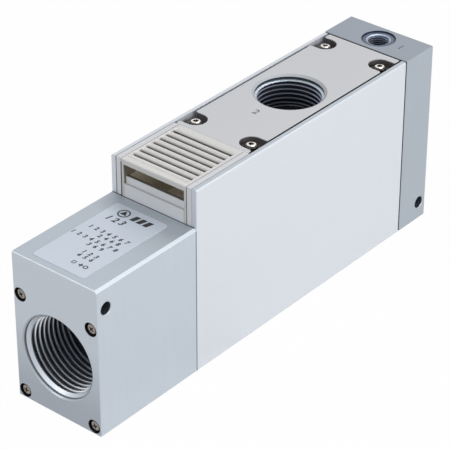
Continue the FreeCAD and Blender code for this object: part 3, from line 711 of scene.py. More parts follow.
@dataclass(frozen=True)
class PortThread:
    """The cut thread in a port: one helical ridge on the wall of the bore, and its turned entry."""

    name: str
    slot: str
    inward: Axis
    wall_radius: float
    crest_radius: float
    pitch: float
    entry: Span
    length: float
    # The colour of the painted shade in the roots.
    root_colour: str
    entry_colour: str
    metal: dict[str, str]
    shift: float = 0.0
    crest_flat: float = 0.14
    crest_shine: float = 0.8
    crest_ease: float = 0.05
    entry_land: float = 0.35
    entry_back: float = 0.45
    entry_roughness: float = 0.48
    entry_spare: float = 1.0
    root_flat: float = 0.2
    taper: float = 1 / 32
    steps: int = 96
    smooth_angle: float = 25.0

    def build(self, bench: Bench, mouth: Vector) -> None:
        """Put the thread in its port and dress it.

        Args:
            bench: The bench.
            mouth: The middle of the port on the block's face.
        """
        thread = join([self.ridge(), self.turned_entry()])
        place_mesh(thread, self.inward.placed(mouth))
        smooth(thread, self.smooth_angle)
        form = self.inward.form
        sign = self.inward.sign
        crest = self.crest_radius + self.crest_ease
        root = self.crest_radius + self.crest_shine
        groove = Groove(tuple(mouth), form, crest, root, self.root_colour, sign * self.taper)
        # The turned entry ring gets its own painted shade: lighter than the thread as a painted highlight in
        # the vacuum port, and darker than the thread as painted shade in the exhaust and supply ports.
        span = (-sign * self.entry_spare, sign * (self.entry[1] + self.entry_land))
        shade = Shade(self.entry_colour, self.entry_roughness)
        entry = bar_zone(form, mouth, self.wall_radius + self.entry_spare, span, shade)
        look = {"groove": groove, "zones": (entry,), **self.metal}
        finish = replace(THREAD_FINISH, name=self.name + "_metal", **look)
        bench.settle(thread, self.name, self.slot, finish)

    def ridge(self) -> Piece:
        """Return the ridge, swept round the bore, trimmed at both ends and drawn in along its taper.

        Returns:
            The ridge, in millimetres, with the mouth at the origin.
        """
        base = (1 - self.root_flat) * self.pitch / 2
        crest = self.crest_flat * self.pitch / 2
        wall = self.wall_radius + EMBED
        outline = [
            (wall, self.shift - base),
            (self.crest_radius, self.shift - crest),
            (self.crest_radius, self.shift + crest),
            (wall, self.shift + base),
        ]
        start = self.entry[1]
        turns = math.ceil((start + self.length) / self.pitch) + 1
        ridge = swept_outline(outline, self.steps, screw_offset=self.pitch, iterations=turns)
        cut_level(ridge, start, -1)
        cut_level(ridge, start + self.length, 1)
        for vert in ridge.data.vertices:
            radius = math.hypot(vert.co.x, vert.co.y)
            if radius < self.wall_radius:
                share = (self.wall_radius - radius) / (self.wall_radius - self.crest_radius)
                grow = (radius - share * self.taper * vert.co.z) / radius
                vert.co.x = vert.co.x * grow
                vert.co.y = vert.co.y * grow
        return ridge

    def turned_entry(self) -> Piece:
        """Return the ring with the bevel that leads into the thread.

        Returns:
            The ring, in millimetres, with the mouth at the origin.
        """
        wall = self.wall_radius + EMBED
        crest = self.crest_radius
        start, end = self.entry
        land = end + self.entry_land
        outline = [(wall, start), (crest, end), (crest, land), (wall, land + self.entry_back)]
        return swept_outline(outline, self.steps)


@dataclass
class PanScrews:
    """Pan head screws with a cross recess, one at each place of a group in the part."""

    node: str
    outward: Axis
    # Painted highlight: the crown of each head is painted lighter than the steel.
    crown_shade: Shade = Shade("8E8780", 0.2)
    crown_radius: float = 1.75
    crown_depth: float = 0.42
    crown_spare: float = 1.0
    # Painted shade over the cross recess, where a centre radius is given.
    centre_shade: Shade = Shade("1E2125", 0.3)
    centre_radius: float = 0.0
    head_radius: float = 2.6
    head_height: float = 1.9
    rim_height: float = 0.8
    shoulder_power: float = 0.85
    dome_power: float = 0.75
    shank_radius: float = 1.5
    recess_span: float = 3.1
    recess_width: float = 0.72
    recess_depth: float = 1.15
    recess_taper: float = 0.45
    crown_steps: int = 7
    steps: int = 48
    first_turn: float = 15.0
    turn_step: float = 35.0
    smooth_angle: float = 30.0

    def build(self, bench: Bench) -> None:
        """Make one screw, copy it to every place and let the copies stand for the node.

        Args:
            bench: The bench.
        """
        boxes = loose_boxes(bench.node(self.node))
        form = self.outward.form
        axis = form.along
        sign = self.outward.sign
        length = (boxes[0][1][axis] - boxes[0][0][axis]) / MM
        screw = self.one_screw(length - self.head_height)
        span = (-sign * self.crown_depth, sign * self.crown_spare)
        copies = []
        zones = []
        for number, (low, high) in enumerate(boxes):
            top = (low + high) / 2
            top[axis] = high[axis] if sign > 0 else low[axis]
            zones.append(bar_zone(form, top, self.crown_radius, span, self.crown_shade))
            if self.centre_radius > 0:
                zones.append(bar_zone(form, top, self.centre_radius, span, self.centre_shade))
            turn = math.radians(self.first_turn + number * self.turn_step)
            own = Matrix.Rotation(turn, 4, "Z") @ Matrix.Translation((0, 0, -self.head_height))
            copy = copy_of(screw)
            place_mesh(copy, self.outward.placed(top) @ own)
            copies.append(copy)
        bpy.data.objects.remove(screw)
        group = join(copies)
        smooth(group, self.smooth_angle)
        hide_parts(self.node)
        finish = replace(SCREW_FINISH, name=self.node + "_steel", zones=tuple(zones))
        bench.settle(group, self.node + "_turned", "screw_steel", finish)

    def one_screw(self, shank_length: float) -> Piece:
        """Turn one screw with its seat at the origin, and sink the cross into its crown.

        Args:
            shank_length: The length under the head.

        Returns:
            The screw, in millimetres.
        """
        points = [(0.0, self.head_height)]
        crown = self.head_height - self.rim_height
        for step in range(1, self.crown_steps + 1):
            angle = QUARTER_TURN * step / self.crown_steps
            height = self.rim_height + crown * math.cos(angle) ** self.dome_power
            points.append((self.head_radius * math.sin(angle) ** self.shoulder_power, height))
        points += [(self.head_radius, 0.0), (self.shank_radius, 0.0)]
        points += [(self.shank_radius, -shank_length), (0.0, -shank_length)]
        screw = swept_outline(points, self.steps, closed=False)
        for turn in (0, QUARTER_TURN):
            carve(screw, self.wing(turn))
        return screw

    def wing(self, turn: float) -> Piece:
        """Return the cutter of one slot of the cross, narrower at its floor.

        Args:
            turn: The slot's direction about the screw's axis.

        Returns:
            The cutter, in millimetres.
        """
        deselect_all()
        bpy.ops.mesh.primitive_cube_add(size=1.0)
        wing = bpy.context.object
        place_mesh(wing, Matrix.Diagonal((self.recess_span, self.recess_width, 2 * self.recess_depth, 1)))
        with editing(wing) as mesh:
            select_verts(wing, mesh, lambda place: place.z < 0)
            floor = (self.recess_taper, self.recess_taper, 1)
            bpy.ops.transform.resize(value=floor, center_override=(0, 0, 0))
        place_mesh(wing, Matrix.Translation((0, 0, self.head_height)) @ Matrix.Rotation(turn, 4, "Z"))
        return wing


@dataclass
class WovenScreen:
    """Filter screen under the vacuum port: a pressed rim round a plain weave of wire."""

    node: str
    wire_radius: float = 0.16
    wire_sides: int = 6
    wire_weld: float = 0.01
    mesh_pitch: float = 1.1
    segments: int = 4
    rim_width: float = 1.4
    rim_steps: int = 96
    corner: float = 0.2
    smooth_angle: float = 50.0

    def build(self, bench: Bench) -> None:
        """Weave the screen, turn its rim, and let both stand for the node.

        Args:
            bench: The bench.
        """
        low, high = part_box(self.node)
        radius = (high.x - low.x) / 2 / MM
        reach = radius - self.rim_width / 2
        count = int(reach / self.mesh_pitch)
        wires = [self.rim(radius, (high.z - low.z) / 2 / MM)]
        for set_number, turn in enumerate((0, QUARTER_TURN)):
            for row in range(-count, count + 1):
                away = row * self.mesh_pitch
                wire = self.wire(math.sqrt(reach ** 2 - away ** 2), (row + set_number) % 2)
                place_mesh(wire, Matrix.Rotation(turn, 4, "Z") @ Matrix.Translation((0, away, 0)))
                wires.append(wire)
        screen = join(wires)
        place_mesh(screen, Axis.PLUS_Z.placed((low + high) / 2))
        smooth(screen, self.smooth_angle)
        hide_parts(self.node)
        bench.settle(screen, self.node + "_woven", "screen_steel", SCREEN_FINISH)

    def rim(self, radius: float, half: float) -> Piece:
        """Return the pressed rim with broken corners.

        Args:
            radius: The outer radius.
            half: Half of the rim's thickness.

        Returns:
            The rim, in millimetres.
        """
        inner = radius - self.rim_width
        level = half - self.corner
        lower = [(radius, -level), (radius - self.corner, -half)]
        lower += [(inner + self.corner, -half), (inner, -level)]
        upper = [(across, -height) for across, height in reversed(lower)]
        return swept_outline(lower + upper, self.rim_steps)

    def wire(self, half_length: float, phase: int) -> Piece:
        """Return one wire along X that waves over and under the wires it crosses.

        Args:
            half_length: Half of the wire's length.
            phase: 0 or 1, for a wire that starts over or under.

        Returns:
            The wire, in millimetres.
        """
        deselect_all()
        count = 2 * math.ceil(half_length / (self.mesh_pitch / self.segments))
        step = 2 * half_length / count
        form = {"vertices": self.wire_sides, "radius": self.wire_radius, "depth": 1.0}
        bpy.ops.mesh.primitive_cylinder_add(end_fill_type="NOTHING", **form)
        wire = bpy.context.object
        place_mesh(wire, Matrix.Rotation(QUARTER_TURN, 4, "Y"))
        place_mesh(wire, Matrix.Diagonal((step, 1, 1, 1)))
        array = {"count": count, "use_merge_vertices": True, "merge_threshold": self.wire_weld}
        apply_modifier(wire, "ARRAY", array)
        middle = step * (count - 1) / 2
        for vert in wire.data.vertices:
            vert.co.x = vert.co.x - middle
            swing = math.cos(math.pi * (vert.co.x / self.mesh_pitch + phase))
            vert.co.z = vert.co.z + self.wire_radius * swing
        close_mesh(wire)
        return wire


@dataclass
class FlatPrint:
    """Numbers, bars and rings of thin print on a level face, read from the exhaust end."""

    middle: Vector
    thickness: float = 0.02
    lift: float = 0.015
    weld: float = 0.0005
    curve_steps: int = 3
    pieces: list[Piece] = field(default_factory=list)

    def add(self, place: Span, turn: float = 0.0) -> None:
        """Lay the active piece on the print.

        Args:
            place: Its place along and across the part, from the print's middle.
            turn: Its turn in degrees.
        """
        piece = bpy.context.object
        place_mesh(piece, Matrix.Translation((*place, 0)) @ Matrix.Rotation(math.radians(turn), 4, "Z"))
        self.pieces.append(piece)

    def bar(self, place: Span, width: float, depth: float, lean: float = 0.0) -> None:
        """Add a bar.

        Args:
            place: Its place along and across the part, from the print's middle.
            width: Its size across the part.
            depth: Its size along the part.
            lean: How far its far edge is shifted towards the right, as in slanted print.
        """
        deselect_all()
        bpy.ops.mesh.primitive_plane_add(size=1.0)
        piece = bpy.context.object
        place_mesh(piece, Matrix.Diagonal((depth, width, 1, 1)))
        with editing(piece) as mesh:
            select_verts(piece, mesh, lambda corner: corner.x > 0)
            bpy.ops.transform.translate(value=(0, -lean, 0))
        self.add(place)

    def disc(self, place: Span, outer: float, inner: float, corners: int = 48, turn: float = 0.0) -> None:
        """Add a ring, or with few corners a frame.

        Args:
            place: Its place along and across the part, from the print's middle.
            outer: Its outer radius.
            inner: Its inner radius, or 0 for a full disc.
            corners: How many corners it has.
            turn: Its turn in degrees.
        """
        deselect_all()
        bpy.ops.mesh.primitive_circle_add(vertices=corners, radius=outer, fill_type="NGON")
        if inner > 0:
            with editing(bpy.context.object, selected=True):
                bpy.ops.mesh.inset(thickness=(outer - inner) * math.cos(math.pi / corners), depth=0)
                bpy.ops.mesh.delete(type="FACE")
        self.add(place, turn)

    def number(self, text: str, place: Span, size: float, weight: float, slant: float = 0.0) -> None:
        """Add a plain number.

        Args:
            text: The digits.
            place: Its place along and across the part, from the print's middle.
            size: The letter size, about 1.4 times the height of a digit.
            weight: How much the strokes are thickened, as a share of the size.
            slant: How far the digits lean.
        """
        deselect_all()
        bpy.ops.object.text_add()
        style = {"body": text, "size": size, "offset": weight * size, "shear": slant}
        style |= {"align_x": "CENTER", "align_y": "CENTER", "resolution_u": self.curve_steps}
        for name, value in style.items():
            setattr(bpy.context.object.data, name, value)
        bpy.ops.object.convert(target="MESH")
        self.add(place, -90.0)

    def build(self, bench: Bench, name: str, slot: str, finish: Finish) -> None:
        """Join the print, give it its thickness and lay it on its face.

        Args:
            bench: The bench.
            name: The name of the piece.
            slot: The material slot of the record.
            finish: The finish of the print.
        """
        piece = join(self.pieces)
        merge(piece, self.weld)
        face_out(piece)
        apply_modifier(piece, "SOLIDIFY", {"thickness": self.thickness, "offset": 1.0})
        face_out(piece)
        place_mesh(piece, Axis.PLUS_Z.placed(self.middle + Vector((0, 0, self.lift * MM))))
        bench.settle(piece, name, slot, finish)


@dataclass
class EndBlock:
    """What both end blocks share: screw holes in the end face and a mounting bore across."""

    bench: Bench
    hole_radius: float = 2.95
    hole_span: Span = (0.15, 2.4)
    # Painted shade in the counterbores round the screw heads.
    hole_shade: Shade = Shade("1E2125", 0.5)
    bore_radius: float = 2.6
    bore_inset: float = 0.3
    # Painted shade in the mounting bore across the block.
    side_bore_shade: Shade = Shade("5C636B", 0.4)

    def drilled(self, screws: str, bore: str, face: float, half_width: float) -> list[Zone]:
        """Return the zones of painted shade in the screw holes and in the mounting bore.

        Args:
            screws: The node of the screws.
            bore: The mount of the bore.
            face: The place of the drilled face along the part, in metres.
            half_width: Half of the block's width, in metres.

        Returns:
            One zone for each screw and one for the bore.
        """
        inward = -1 if face > 0 else 1
        span = (inward * self.hole_span[0], inward * self.hole_span[1])
        zones = []
        for low, high in loose_boxes(self.bench.node(screws)):
            centre = (low + high) / 2
            centre.x = face
            zones.append(bar_zone(Form.BAR_X, centre, self.hole_radius, span, self.hole_shade))
        centre = self.bench.mount(bore)
        centre.y = 0
        reach = half_width / MM - self.bore_inset
        zones.append(bar_zone(Form.BAR_Y, centre, self.bore_radius, (-reach, reach), self.side_bore_shade))
        return zones


@dataclass
class ExhaustEnd(EndBlock):
    """Exhaust block with its one inch port, four screws and the printed label."""

    thread: PortThread = PortThread(
        "exhaust_port_thread",
        "anodised_block",
        Axis.PLUS_X,
        wall_radius=16.2,
        crest_radius=15.1,
        pitch=25.4 / 11.5,
        entry=(1.25, 2.4),
        length=19.5,
        root_colour="7C8490",
        entry_colour="C0C6CE",
        metal={"colour": "F2F5F8", "deep_colour": "E4E8EC"},
        crest_flat=0.2,
    )
    rim_radius: float = 16.97
    rim_depth: float = 0.95
    rim_spare: float = 1.0
    bore_depth: float = 24.2
    face_margin: float = 0.05
    edge_width: float = 0.22
    fade_depth: float = 0.1
    fade_height: float = 22.0
    fade_reach: float = 1000.0
    bevel: float = 1.0
    seam_width: float = 0.5
    seam_depth: float = 0.15
    print_shift: Span = (1.2, 1.6)
    # Painted shade: the top face is painted darker than the block.
    top_shade: Shade = Shade("AFB7C0", 0.46)
    # Painted light: the front face is painted a little lighter than the block.
    face_shade: Shade = Shade("C4CCD5", 0.42)
    # Painted shade: the front face darker towards the bottom, fading out upwards.
    foot_shade: Shade = Shade("A9B1BB", 0.42, 0.6)
    # Painted highlight on the bevel along the near top edge.
    bevel_shade: Shade = Shade("C9D1D9", 0.42)
    top_seam_shade: Shade = Shade("4A525C")
    side_seam_shade: Shade = Shade("666E78")
    # Painted highlight on the front top edge.
    edge_shade: Shade = Shade("D0D7DE", 0.5)
    rim_shade: Shade = Shade("B4BBC3", 0.4)
    # Painted shade in the bore behind the port's rim.
    bore_shade: Shade = Shade("868E96", 0.4)

    def build(self) -> None:
        """Dress the block and add its thread, screws and print."""
        low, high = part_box("exhaust_block")
        axis = self.bench.mount("exhaust_port")
        mouth = Vector((low.x, axis.y, axis.z))
        box = (low, high)
        fade = self.fade_depth * MM
        height = self.fade_height * MM
        sides = {"near": -self.fade_reach * MM, "far": self.fade_reach * MM, "foot": -height, "top": height}
        edge = high.z - self.edge_width * MM
        bevel = high.z - self.bevel * MM
        seam = high.x - self.seam_width * MM
        side = low.y + self.seam_depth * MM
        rim = (-self.rim_spare, self.rim_depth)
        bore = (self.rim_depth, self.bore_depth)
        zones = (
            box_zone(box, self.top_shade, foot=high.z - self.face_margin * MM),
            box_zone(box, self.face_shade, rear=low.x + self.face_margin * MM, top=edge),
            box_zone(box, self.foot_shade, front=low.x - fade, rear=low.x + fade, **sides),
            box_zone(box, self.bevel_shade, foot=bevel, far=low.y + self.bevel * MM),
            box_zone(box, self.top_seam_shade, front=seam, foot=high.z - self.seam_depth * MM),
            box_zone(box, self.side_seam_shade, front=seam, far=side, top=bevel),
            box_zone(box, self.edge_shade, foot=edge, rear=low.x + self.edge_width * MM),
            bar_zone(Form.BAR_X, mouth, self.rim_radius, rim, self.rim_shade),
            bar_zone(Form.BAR_X, mouth, self.rim_radius, bore, self.bore_shade),
            *self.drilled("exhaust_block_screws", "exhaust_side_bore", low.x, high.y),
        )
        finish = replace(BLOCK_FINISH, name="anodised_exhaust_block", zones=zones)
        self.bench.dress(self.bench.node("exhaust_block"), finish)
        self.thread.build(self.bench, mouth)
        PanScrews("exhaust_block_screws", Axis.MINUS_X).build(self.bench)
        self.print_label()

    def print_label(self) -> None:
        """Print the label: a flow symbol, scales of plain numbers and small marks."""
        low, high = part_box("label")
        middle = (low + high) / 2
        along, across = self.print_shift
        sheet = FlatPrint(Vector((middle.x + along * MM, middle.y + across * MM, high.z)))
        sheet.disc((16.6, 3.6), outer=2.5, inner=1.95)
        sheet.disc((16.6, 3.6), outer=1.75, inner=0.0, corners=3, turn=-90.0)
        for across in (-1.4, -4.4, -7.4):
            sheet.bar((16.4, across), width=2.1, depth=3.4, lean=0.9)
        sheet.number("1 2 3", (11.3, 3.2), size=4.1, weight=0.025, slant=0.25)
        rows = {
            (3.0, -1.4): "1  2  3  4  5  6  7",
            (0.2, -4.0): "2  4  6  8",
            (-3.2, -0.2): "1  2  3  4  5  6  7  8",
            (-6.0, -3.2): "3  6  9",
            (-10.6, -5.2): "1  2  3",
            (-13.2, -5.2): "4  5  6",
        }
        for place, text in rows.items():
            sheet.number(text, place, size=2.7, weight=0.03, slant=0.15)
        sheet.disc((-17.6, -4.2), outer=1.15, inner=0.75, corners=4, turn=45.0)
        sheet.bar((-17.6, -7.4), width=1.9, depth=0.5)
        sheet.bar((-17.6, -7.4), width=0.5, depth=1.9)
        sheet.disc((-17.6, -9.6), outer=1.0, inner=0.6, corners=24)
        sheet.build(self.bench, "label_print", "label_film", INK_FINISH)


@dataclass
class SupplyEnd(EndBlock):
    """Supply block with its small port on top, six screws and the port's number."""

    thread: PortThread = PortThread(
        "supply_port_thread",
        "anodised_block",
        Axis.MINUS_Z,
        wall_radius=4.85,
        crest_radius=4.35,
        pitch=25.4 / 27,
        entry=(0.53, 0.75),
        length=9.6,
        root_colour="6A7284",
        entry_colour="ADB7C8",
        metal={"colour": "DCE2EA", "deep_colour": "CBD2DE"},
    )
    rim_radius: float = 6.95
    bright_radius: float = 6.1
    bore_depth: float = 30.0
    face_margin: float = 0.06
    joint_width: float = 0.05
    edge_width: float = 0.25
    number_place: Span = (-0.4, -11.0)
    number_size: float = 4.6
    number_weight: float = 0.01
    # Painted shade: the top face is painted darker than the block's sides.
    top_shade: Shade = Shade("959DA7", 0.46)
    # Painted reflections in the spot face and bore of the port: a dark navy outer ring and a lighter,
    # glossier inner ring.
    rim_shade: Shade = Shade("343C50", 0.3)
    bright_shade: Shade = Shade("5E6880", 0.2)
    joint_shade: Shade = Shade("565C62")
    # Painted shade on the rear and far top edges.
    edge_shade: Shade = Shade("7E7F80", 0.5)

    def build(self) -> None:
        """Dress the block and add its thread, screws and number."""
        low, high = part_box("supply_block")
        axis = self.bench.mount("supply_port")
        mouth = Vector((axis.x, axis.y, high.z))
        box = (low, high)
        bore = (-self.bore_depth, -self.face_margin)
        edge = self.edge_width * MM
        zones = (
            box_zone(box, self.top_shade, foot=high.z - self.face_margin * MM / 2),
            bar_zone(Form.BAR_Z, mouth, self.rim_radius, bore, self.rim_shade),
            bar_zone(Form.BAR_Z, mouth, self.bright_radius, bore, self.bright_shade),
            box_zone(box, self.joint_shade, rear=low.x + self.joint_width * MM),
            box_zone(box, self.edge_shade, front=high.x - edge, foot=high.z - edge),
            box_zone(box, self.edge_shade, near=high.y - edge, foot=high.z - edge),
            *self.drilled("supply_block_screws", "supply_side_bore", high.x, high.y),
        )
        finish = replace(SUPPLY_FINISH, name="anodised_supply_bore_block", zones=zones)
        self.bench.dress(self.bench.node("supply_block"), finish)
        self.thread.build(self.bench, mouth)
        PanScrews("supply_block_screws", Axis.PLUS_X).build(self.bench)
        mark = FlatPrint(mouth)
        mark.number("1", self.number_place, self.number_size, self.number_weight)
        mark.build(self.bench, "supply_port_number", "anodised_block", FILL_FINISH)


@dataclass
class PortPlate:
    """Port block on top of the body with the vacuum port, its filter, four screws and the port's number."""

    bench: Bench
    thread: PortThread = PortThread(
        "vacuum_port_thread",
        "port_aluminium",
        Axis.MINUS_Z,
        wall_radius=13.2,
        crest_radius=12.4,
        pitch=1.87,
        entry=(1.95, 2.3),
        length=10.3,
        root_colour="4E5664",
        entry_colour="BCC6D0",
        # Painted shade: the vacuum thread's metal is a darker copy of the cut thread colour, for its deep,
        # shaded bore.
        metal={"colour": "9A9EAE", "deep_colour": "8C90A0"},
        shift=0.45,
        crest_shine=0.6,
        entry_land=0.15,
    )
    rim_radius: float = 14.3
    rim_depth: float = 0.8
    rim_inset: float = 0.05
    bore_depth: float = 20.0
    bore_steps: int = 128
    cut_spare: float = 1.0
    seat_height: float = 2.4
    pocket_radius: float = 4.5
    face_margin: float = 0.3
    joint_width: float = 0.15
    joint_depth: float = 0.1
    screw_centre: float = 0.95
    number_place: Span = (-20.3, -0.35)
    number_size: float = 4.6
    number_weight: float = 0.01
    rim_shade: Shade = Shade("B0B4B9", 0.5)
    # Painted shade in the bore below the rim.
    bore_shade: Shade = Shade("3A4049", 0.4)
    # Painted shade on the plate's near side, down in the gap beside the body wall.
    joint_shade: Shade = Shade("24272B")
    # Painted shade in the screw pockets.
    pocket_shade: Shade = Shade("5C585A", 0.5)
    # Painted highlight: a near-white crown on each screw, with painted shade over the cross in its middle.
    crown_shade: Shade = Shade("E4E0DA", 0.2)

    def build(self) -> None:
        """Machine and dress the plate and add its thread, screws, filter and number."""
        low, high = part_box("port_block")
        axis = self.bench.mount("vacuum_port")
        mouth = Vector((axis.x, axis.y, high.z))
        finish = replace(PORT_FINISH, name="blasted_port_block", zones=self.zones(low, high, mouth))
        self.machine(mouth, (high.z - low.z) / MM, finish)
        self.thread.build(self.bench, mouth)
        look = {"crown_shade": self.crown_shade, "centre_radius": self.screw_centre}
        PanScrews("port_block_screws", Axis.PLUS_Z, **look).build(self.bench)
        WovenScreen("filter_screen").build(self.bench)
        mark = FlatPrint(mouth)
        mark.number("2", self.number_place, self.number_size, self.number_weight)
        mark.build(self.bench, "vacuum_port_number", "port_aluminium", FILL_FINISH)

    def zones(self, low: Vector, high: Vector, mouth: Vector) -> tuple[Zone, ...]:
        """Return the zones of the port, the joint and the four pockets, with painted shade in the bore,
        beside the joint and in the pockets.

        Args:
            low: The low corner of the block's box.
            high: The high corner of the block's box.
            mouth: The middle of the port.

        Returns:
            The zones, the last one on top.
        """
        box = (low, high)
        rim = (-self.rim_depth, -self.rim_inset)
        bore = (-self.bore_depth, -self.rim_depth)
        joint = {"far": low.y + self.joint_width * MM, "top": high.z - self.joint_depth * MM}
        zones = [
            bar_zone(Form.BAR_Z, mouth, self.rim_radius, rim, self.rim_shade),
            bar_zone(Form.BAR_Z, mouth, self.rim_radius, bore, self.bore_shade),
            box_zone(box, self.joint_shade, **joint),
        ]
        reach = self.pocket_radius * MM
        for screw in loose_boxes(self.bench.node("port_block_screws")):
            middle = (screw[0] + screw[1]) / 2
            side = 1 if middle.y > 0 else -1
            near, far = sorted((middle.y - side * reach, side * high.y))
            pocket = {"front": middle.x - reach - MM, "rear": middle.x + reach + MM, "foot": low.z}
            pocket |= {"near": near - MM / 2, "far": far + MM, "top": high.z - self.face_margin * MM}
            zones.append(box_zone(box, self.pocket_shade, **pocket))
        return tuple(zones)

    def machine(self, mouth: Vector, thickness: float, finish: Finish) -> None:
        """Turn the wide rim and the bore of the cut thread into a block that stands for the node.

        Args:
            mouth: The middle of the port on the block's face.
            thickness: The block's thickness in millimetres.
            finish: The block's finish.
        """
        block = copy_of(self.bench.node("port_block"))
        merge(block, WELD)
        wall = self.thread.wall_radius
        bottom = thickness - self.seat_height + EMBED
        points = [(0.0, -self.cut_spare), (self.rim_radius, -self.cut_spare), (self.rim_radius, 0.0)]
        points += [(wall, self.rim_depth), (wall, bottom), (0.0, bottom)]
        cutter = swept_outline(points, self.bore_steps, closed=False)
        place_mesh(cutter, self.thread.inward.placed(mouth))
        carve(block, cutter)
        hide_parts("port_block")
        self.bench.settle(block, "port_block_machined", "port_aluminium", finish)


@dataclass
class FrontBay:
    """Casing, louvre cover and insert of the front bay, with painted shade inside."""

    bench: Bench
    front_margin: float = 0.3
    left_margin: float = 2.0
    right_margin: float = 2.9
    top_margin: float = 1.3
    rear_margin: float = 2.0
    joint_width: float = 0.22
    insert_margin: float = 1.4
    slot_top_margin: float = 1.0
    slot_depth: float = 2.6
    slot_ease: float = 0.2
    shade_depth: float = 8.0
    floor_start: float = 3.5
    sill_margin: float = 0.03
    gap_drop: float = 1.5
    gap_span: Span = (15.1, 15.75)
    slot_count: int = 7
    slot_pitch: float = 3.6
    slot_first: float = 4.3
    slot_width: float = 2.1
    slot_round: float = 1.2
    round_steps: int = 8
    slot_reach: Span = (13.9, 14.7)
    slot_floor: float = -2.25
    groove: Point = (2.5, 2.85, -0.25)
    cut_ease: float = 0.02
    cut_top: float = 1.0
    smooth_angle: float = 25.0
    # Painted light and shade inside the bay: the casing's inside is painted a warm light beige; the slots,
    # the faces below them and the last slot are painted dark; the deep part of the cover's skirt is painted
    # lighter where it lies in shadow.
    bay_shade: Shade = Shade("E0D6C0")
    slot_shade: Shade = Shade("544C40", softness=0.045)
    below_shade: Shade = Shade("877E6D")
    floor_shade: Shade = Shade("CBC0AA")
    last_shade: Shade = Shade("1C1916", 0.7)
    # Painted shade in the gap at the far front corner, between the cover's skirt and the casing.
    gap_shade: Shade = Shade("5A5B5C")
    # Dark joint lines along the body walls; the far line is painted darker as shade.
    near_joint_shade: Shade = Shade("B4B8BC")
    far_joint_shade: Shade = Shade("8A9096")
    # Painted shade on the insert's top and back, inside the bay.
    behind_shade: Shade = Shade("4A443A")
    # Painted shade: a grey line on the step of the insert's sill.
    sill_shade: Shade = Shade("B8BABB")
    cool_colour: str = "DADCDF"
    cool_deep_colour: str = "D2D4D8"

    def build(self) -> None:
        """Dress the three mouldings, with painted light and shade on what faces the bay, and dark joint lines
        beside them.
        """
        low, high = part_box("casing")
        box = (low, high)
        walls = {
            "front": low.x + self.front_margin * MM,
            "near": low.y + self.right_margin * MM,
            "foot": low.z + MM,
            "rear": high.x - self.rear_margin * MM,
            "far": high.y - self.left_margin * MM,
        }
        slot_top = high.z - self.slot_top_margin * MM
        slot_foot = high.z - self.slot_depth * MM
        inside = box_zone(box, self.bay_shade, top=high.z - self.top_margin * MM, **walls)
        slots = box_zone(box, self.slot_shade, top=slot_top, **walls)
        below = box_zone(box, self.below_shade, top=slot_foot, **walls)
        back = walls | {"front": low.x + self.floor_start * MM, "top": high.z - self.shade_depth * MM}
        floor = box_zone(box, self.floor_shade, **back)
        start = self.slot_first + (self.slot_count - 1) * self.slot_pitch
        end = start + self.slot_width + self.slot_ease
        ends = {"front": low.x + (start - self.slot_ease) * MM, "rear": low.x + end * MM}
        last = box_zone(box, self.last_shade, **walls | ends | {"foot": slot_foot, "top": slot_top})
        side = (high.y - low.y) / 2 - self.joint_width * MM
        near_joint = box_zone(box, self.near_joint_shade, near=-high.y * 2, far=-side)
        far_joint = box_zone(box, self.far_joint_shade, near=side, far=high.y * 2)
        corner = {"near": self.gap_span[0] * MM, "far": self.gap_span[1] * MM, "rear": low.x + MM}
        gap = box_zone(box, self.gap_shade, top=high.z - self.gap_drop * MM, **corner)
        self.dress_cool("casing", "ivory_casing_resin", (inside, near_joint, far_joint, gap))
        cover = replace(CREAM_FINISH, name="ivory_cover_resin", zones=(slots, below, floor, last, gap))
        self.lengthen_slots(cover)
        low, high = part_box("blanking_insert")
        box = (low, high)
        sill = self.window_sill(high.z)
        margin = self.sill_margin * MM
        seam = box_zone(box, self.sill_shade, foot=sill - margin, top=sill + margin)
        behind = box_zone(box, self.behind_shade, front=low.x + self.insert_margin * MM)
        self.dress_cool("blanking_insert", "ivory_insert_resin", (seam, behind))

    def dress_cool(self, node: str, name: str, zones: tuple[Zone, ...]) -> None:
        """Dress a moulding in the cooler shade of ivory.

        Args:
            node: The node of the moulding.
            name: The name of its finish.
            zones: Its zones.
        """
        shades = {"colour": self.cool_colour, "deep_colour": self.cool_deep_colour}
        finish = replace(CREAM_FINISH, name=name, zones=zones, **shades)
        self.bench.dress(self.bench.node(node), finish)

    def window_sill(self, top: float) -> float:
        """Return the height of the insert's step under its top, in metres."""
        heights = {round(vert.co.z, DECIMALS) for vert in self.bench.node("blanking_insert").data.vertices}
        return max(height for height in heights if height < top - MM)

    def lengthen_slots(self, finish: Finish) -> None:
        """Carry the slots and the groove on towards the far side, in a cover that stands for the node.

        Args:
            finish: The cover's finish.
        """
        cover = copy_of(self.bench.node("louvre_cover"))
        merge(cover, WELD)
        low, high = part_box("louvre_cover")
        corner = Vector((low.x, 0, high.z))
        ease = self.cut_ease
        start = self.groove[0] + ease
        end = self.groove[1] - ease
        floor = self.groove[2] + ease
        outline = [(start, self.cut_top), (start, floor), (end, floor), (end, self.cut_top)]
        cutters = [self.slot_cutter(corner, outline)]
        for number in range(self.slot_count):
            front = self.slot_first + number * self.slot_pitch
            lip = front + self.slot_width - ease
            outline = [(front + ease, self.cut_top), (front + ease, self.slot_floor), (lip, self.slot_floor)]
            for step in range(self.round_steps + 1):
                angle = step / self.round_steps * QUARTER_TURN
                across = lip + self.slot_round * (1 - math.cos(angle))
                outline.append((across, self.slot_round * (math.sin(angle) - 1) + ease))
            outline.append((lip + self.slot_round, self.cut_top))
            cutters.append(self.slot_cutter(corner, outline))
        carve(cover, join(cutters))
        smooth(cover, self.smooth_angle)
        apply_modifier(cover, "WEIGHTED_NORMAL", {"keep_sharp": True})
        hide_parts("louvre_cover")
        self.bench.settle(cover, "louvre_cover_long_slots", "cream_resin", finish)

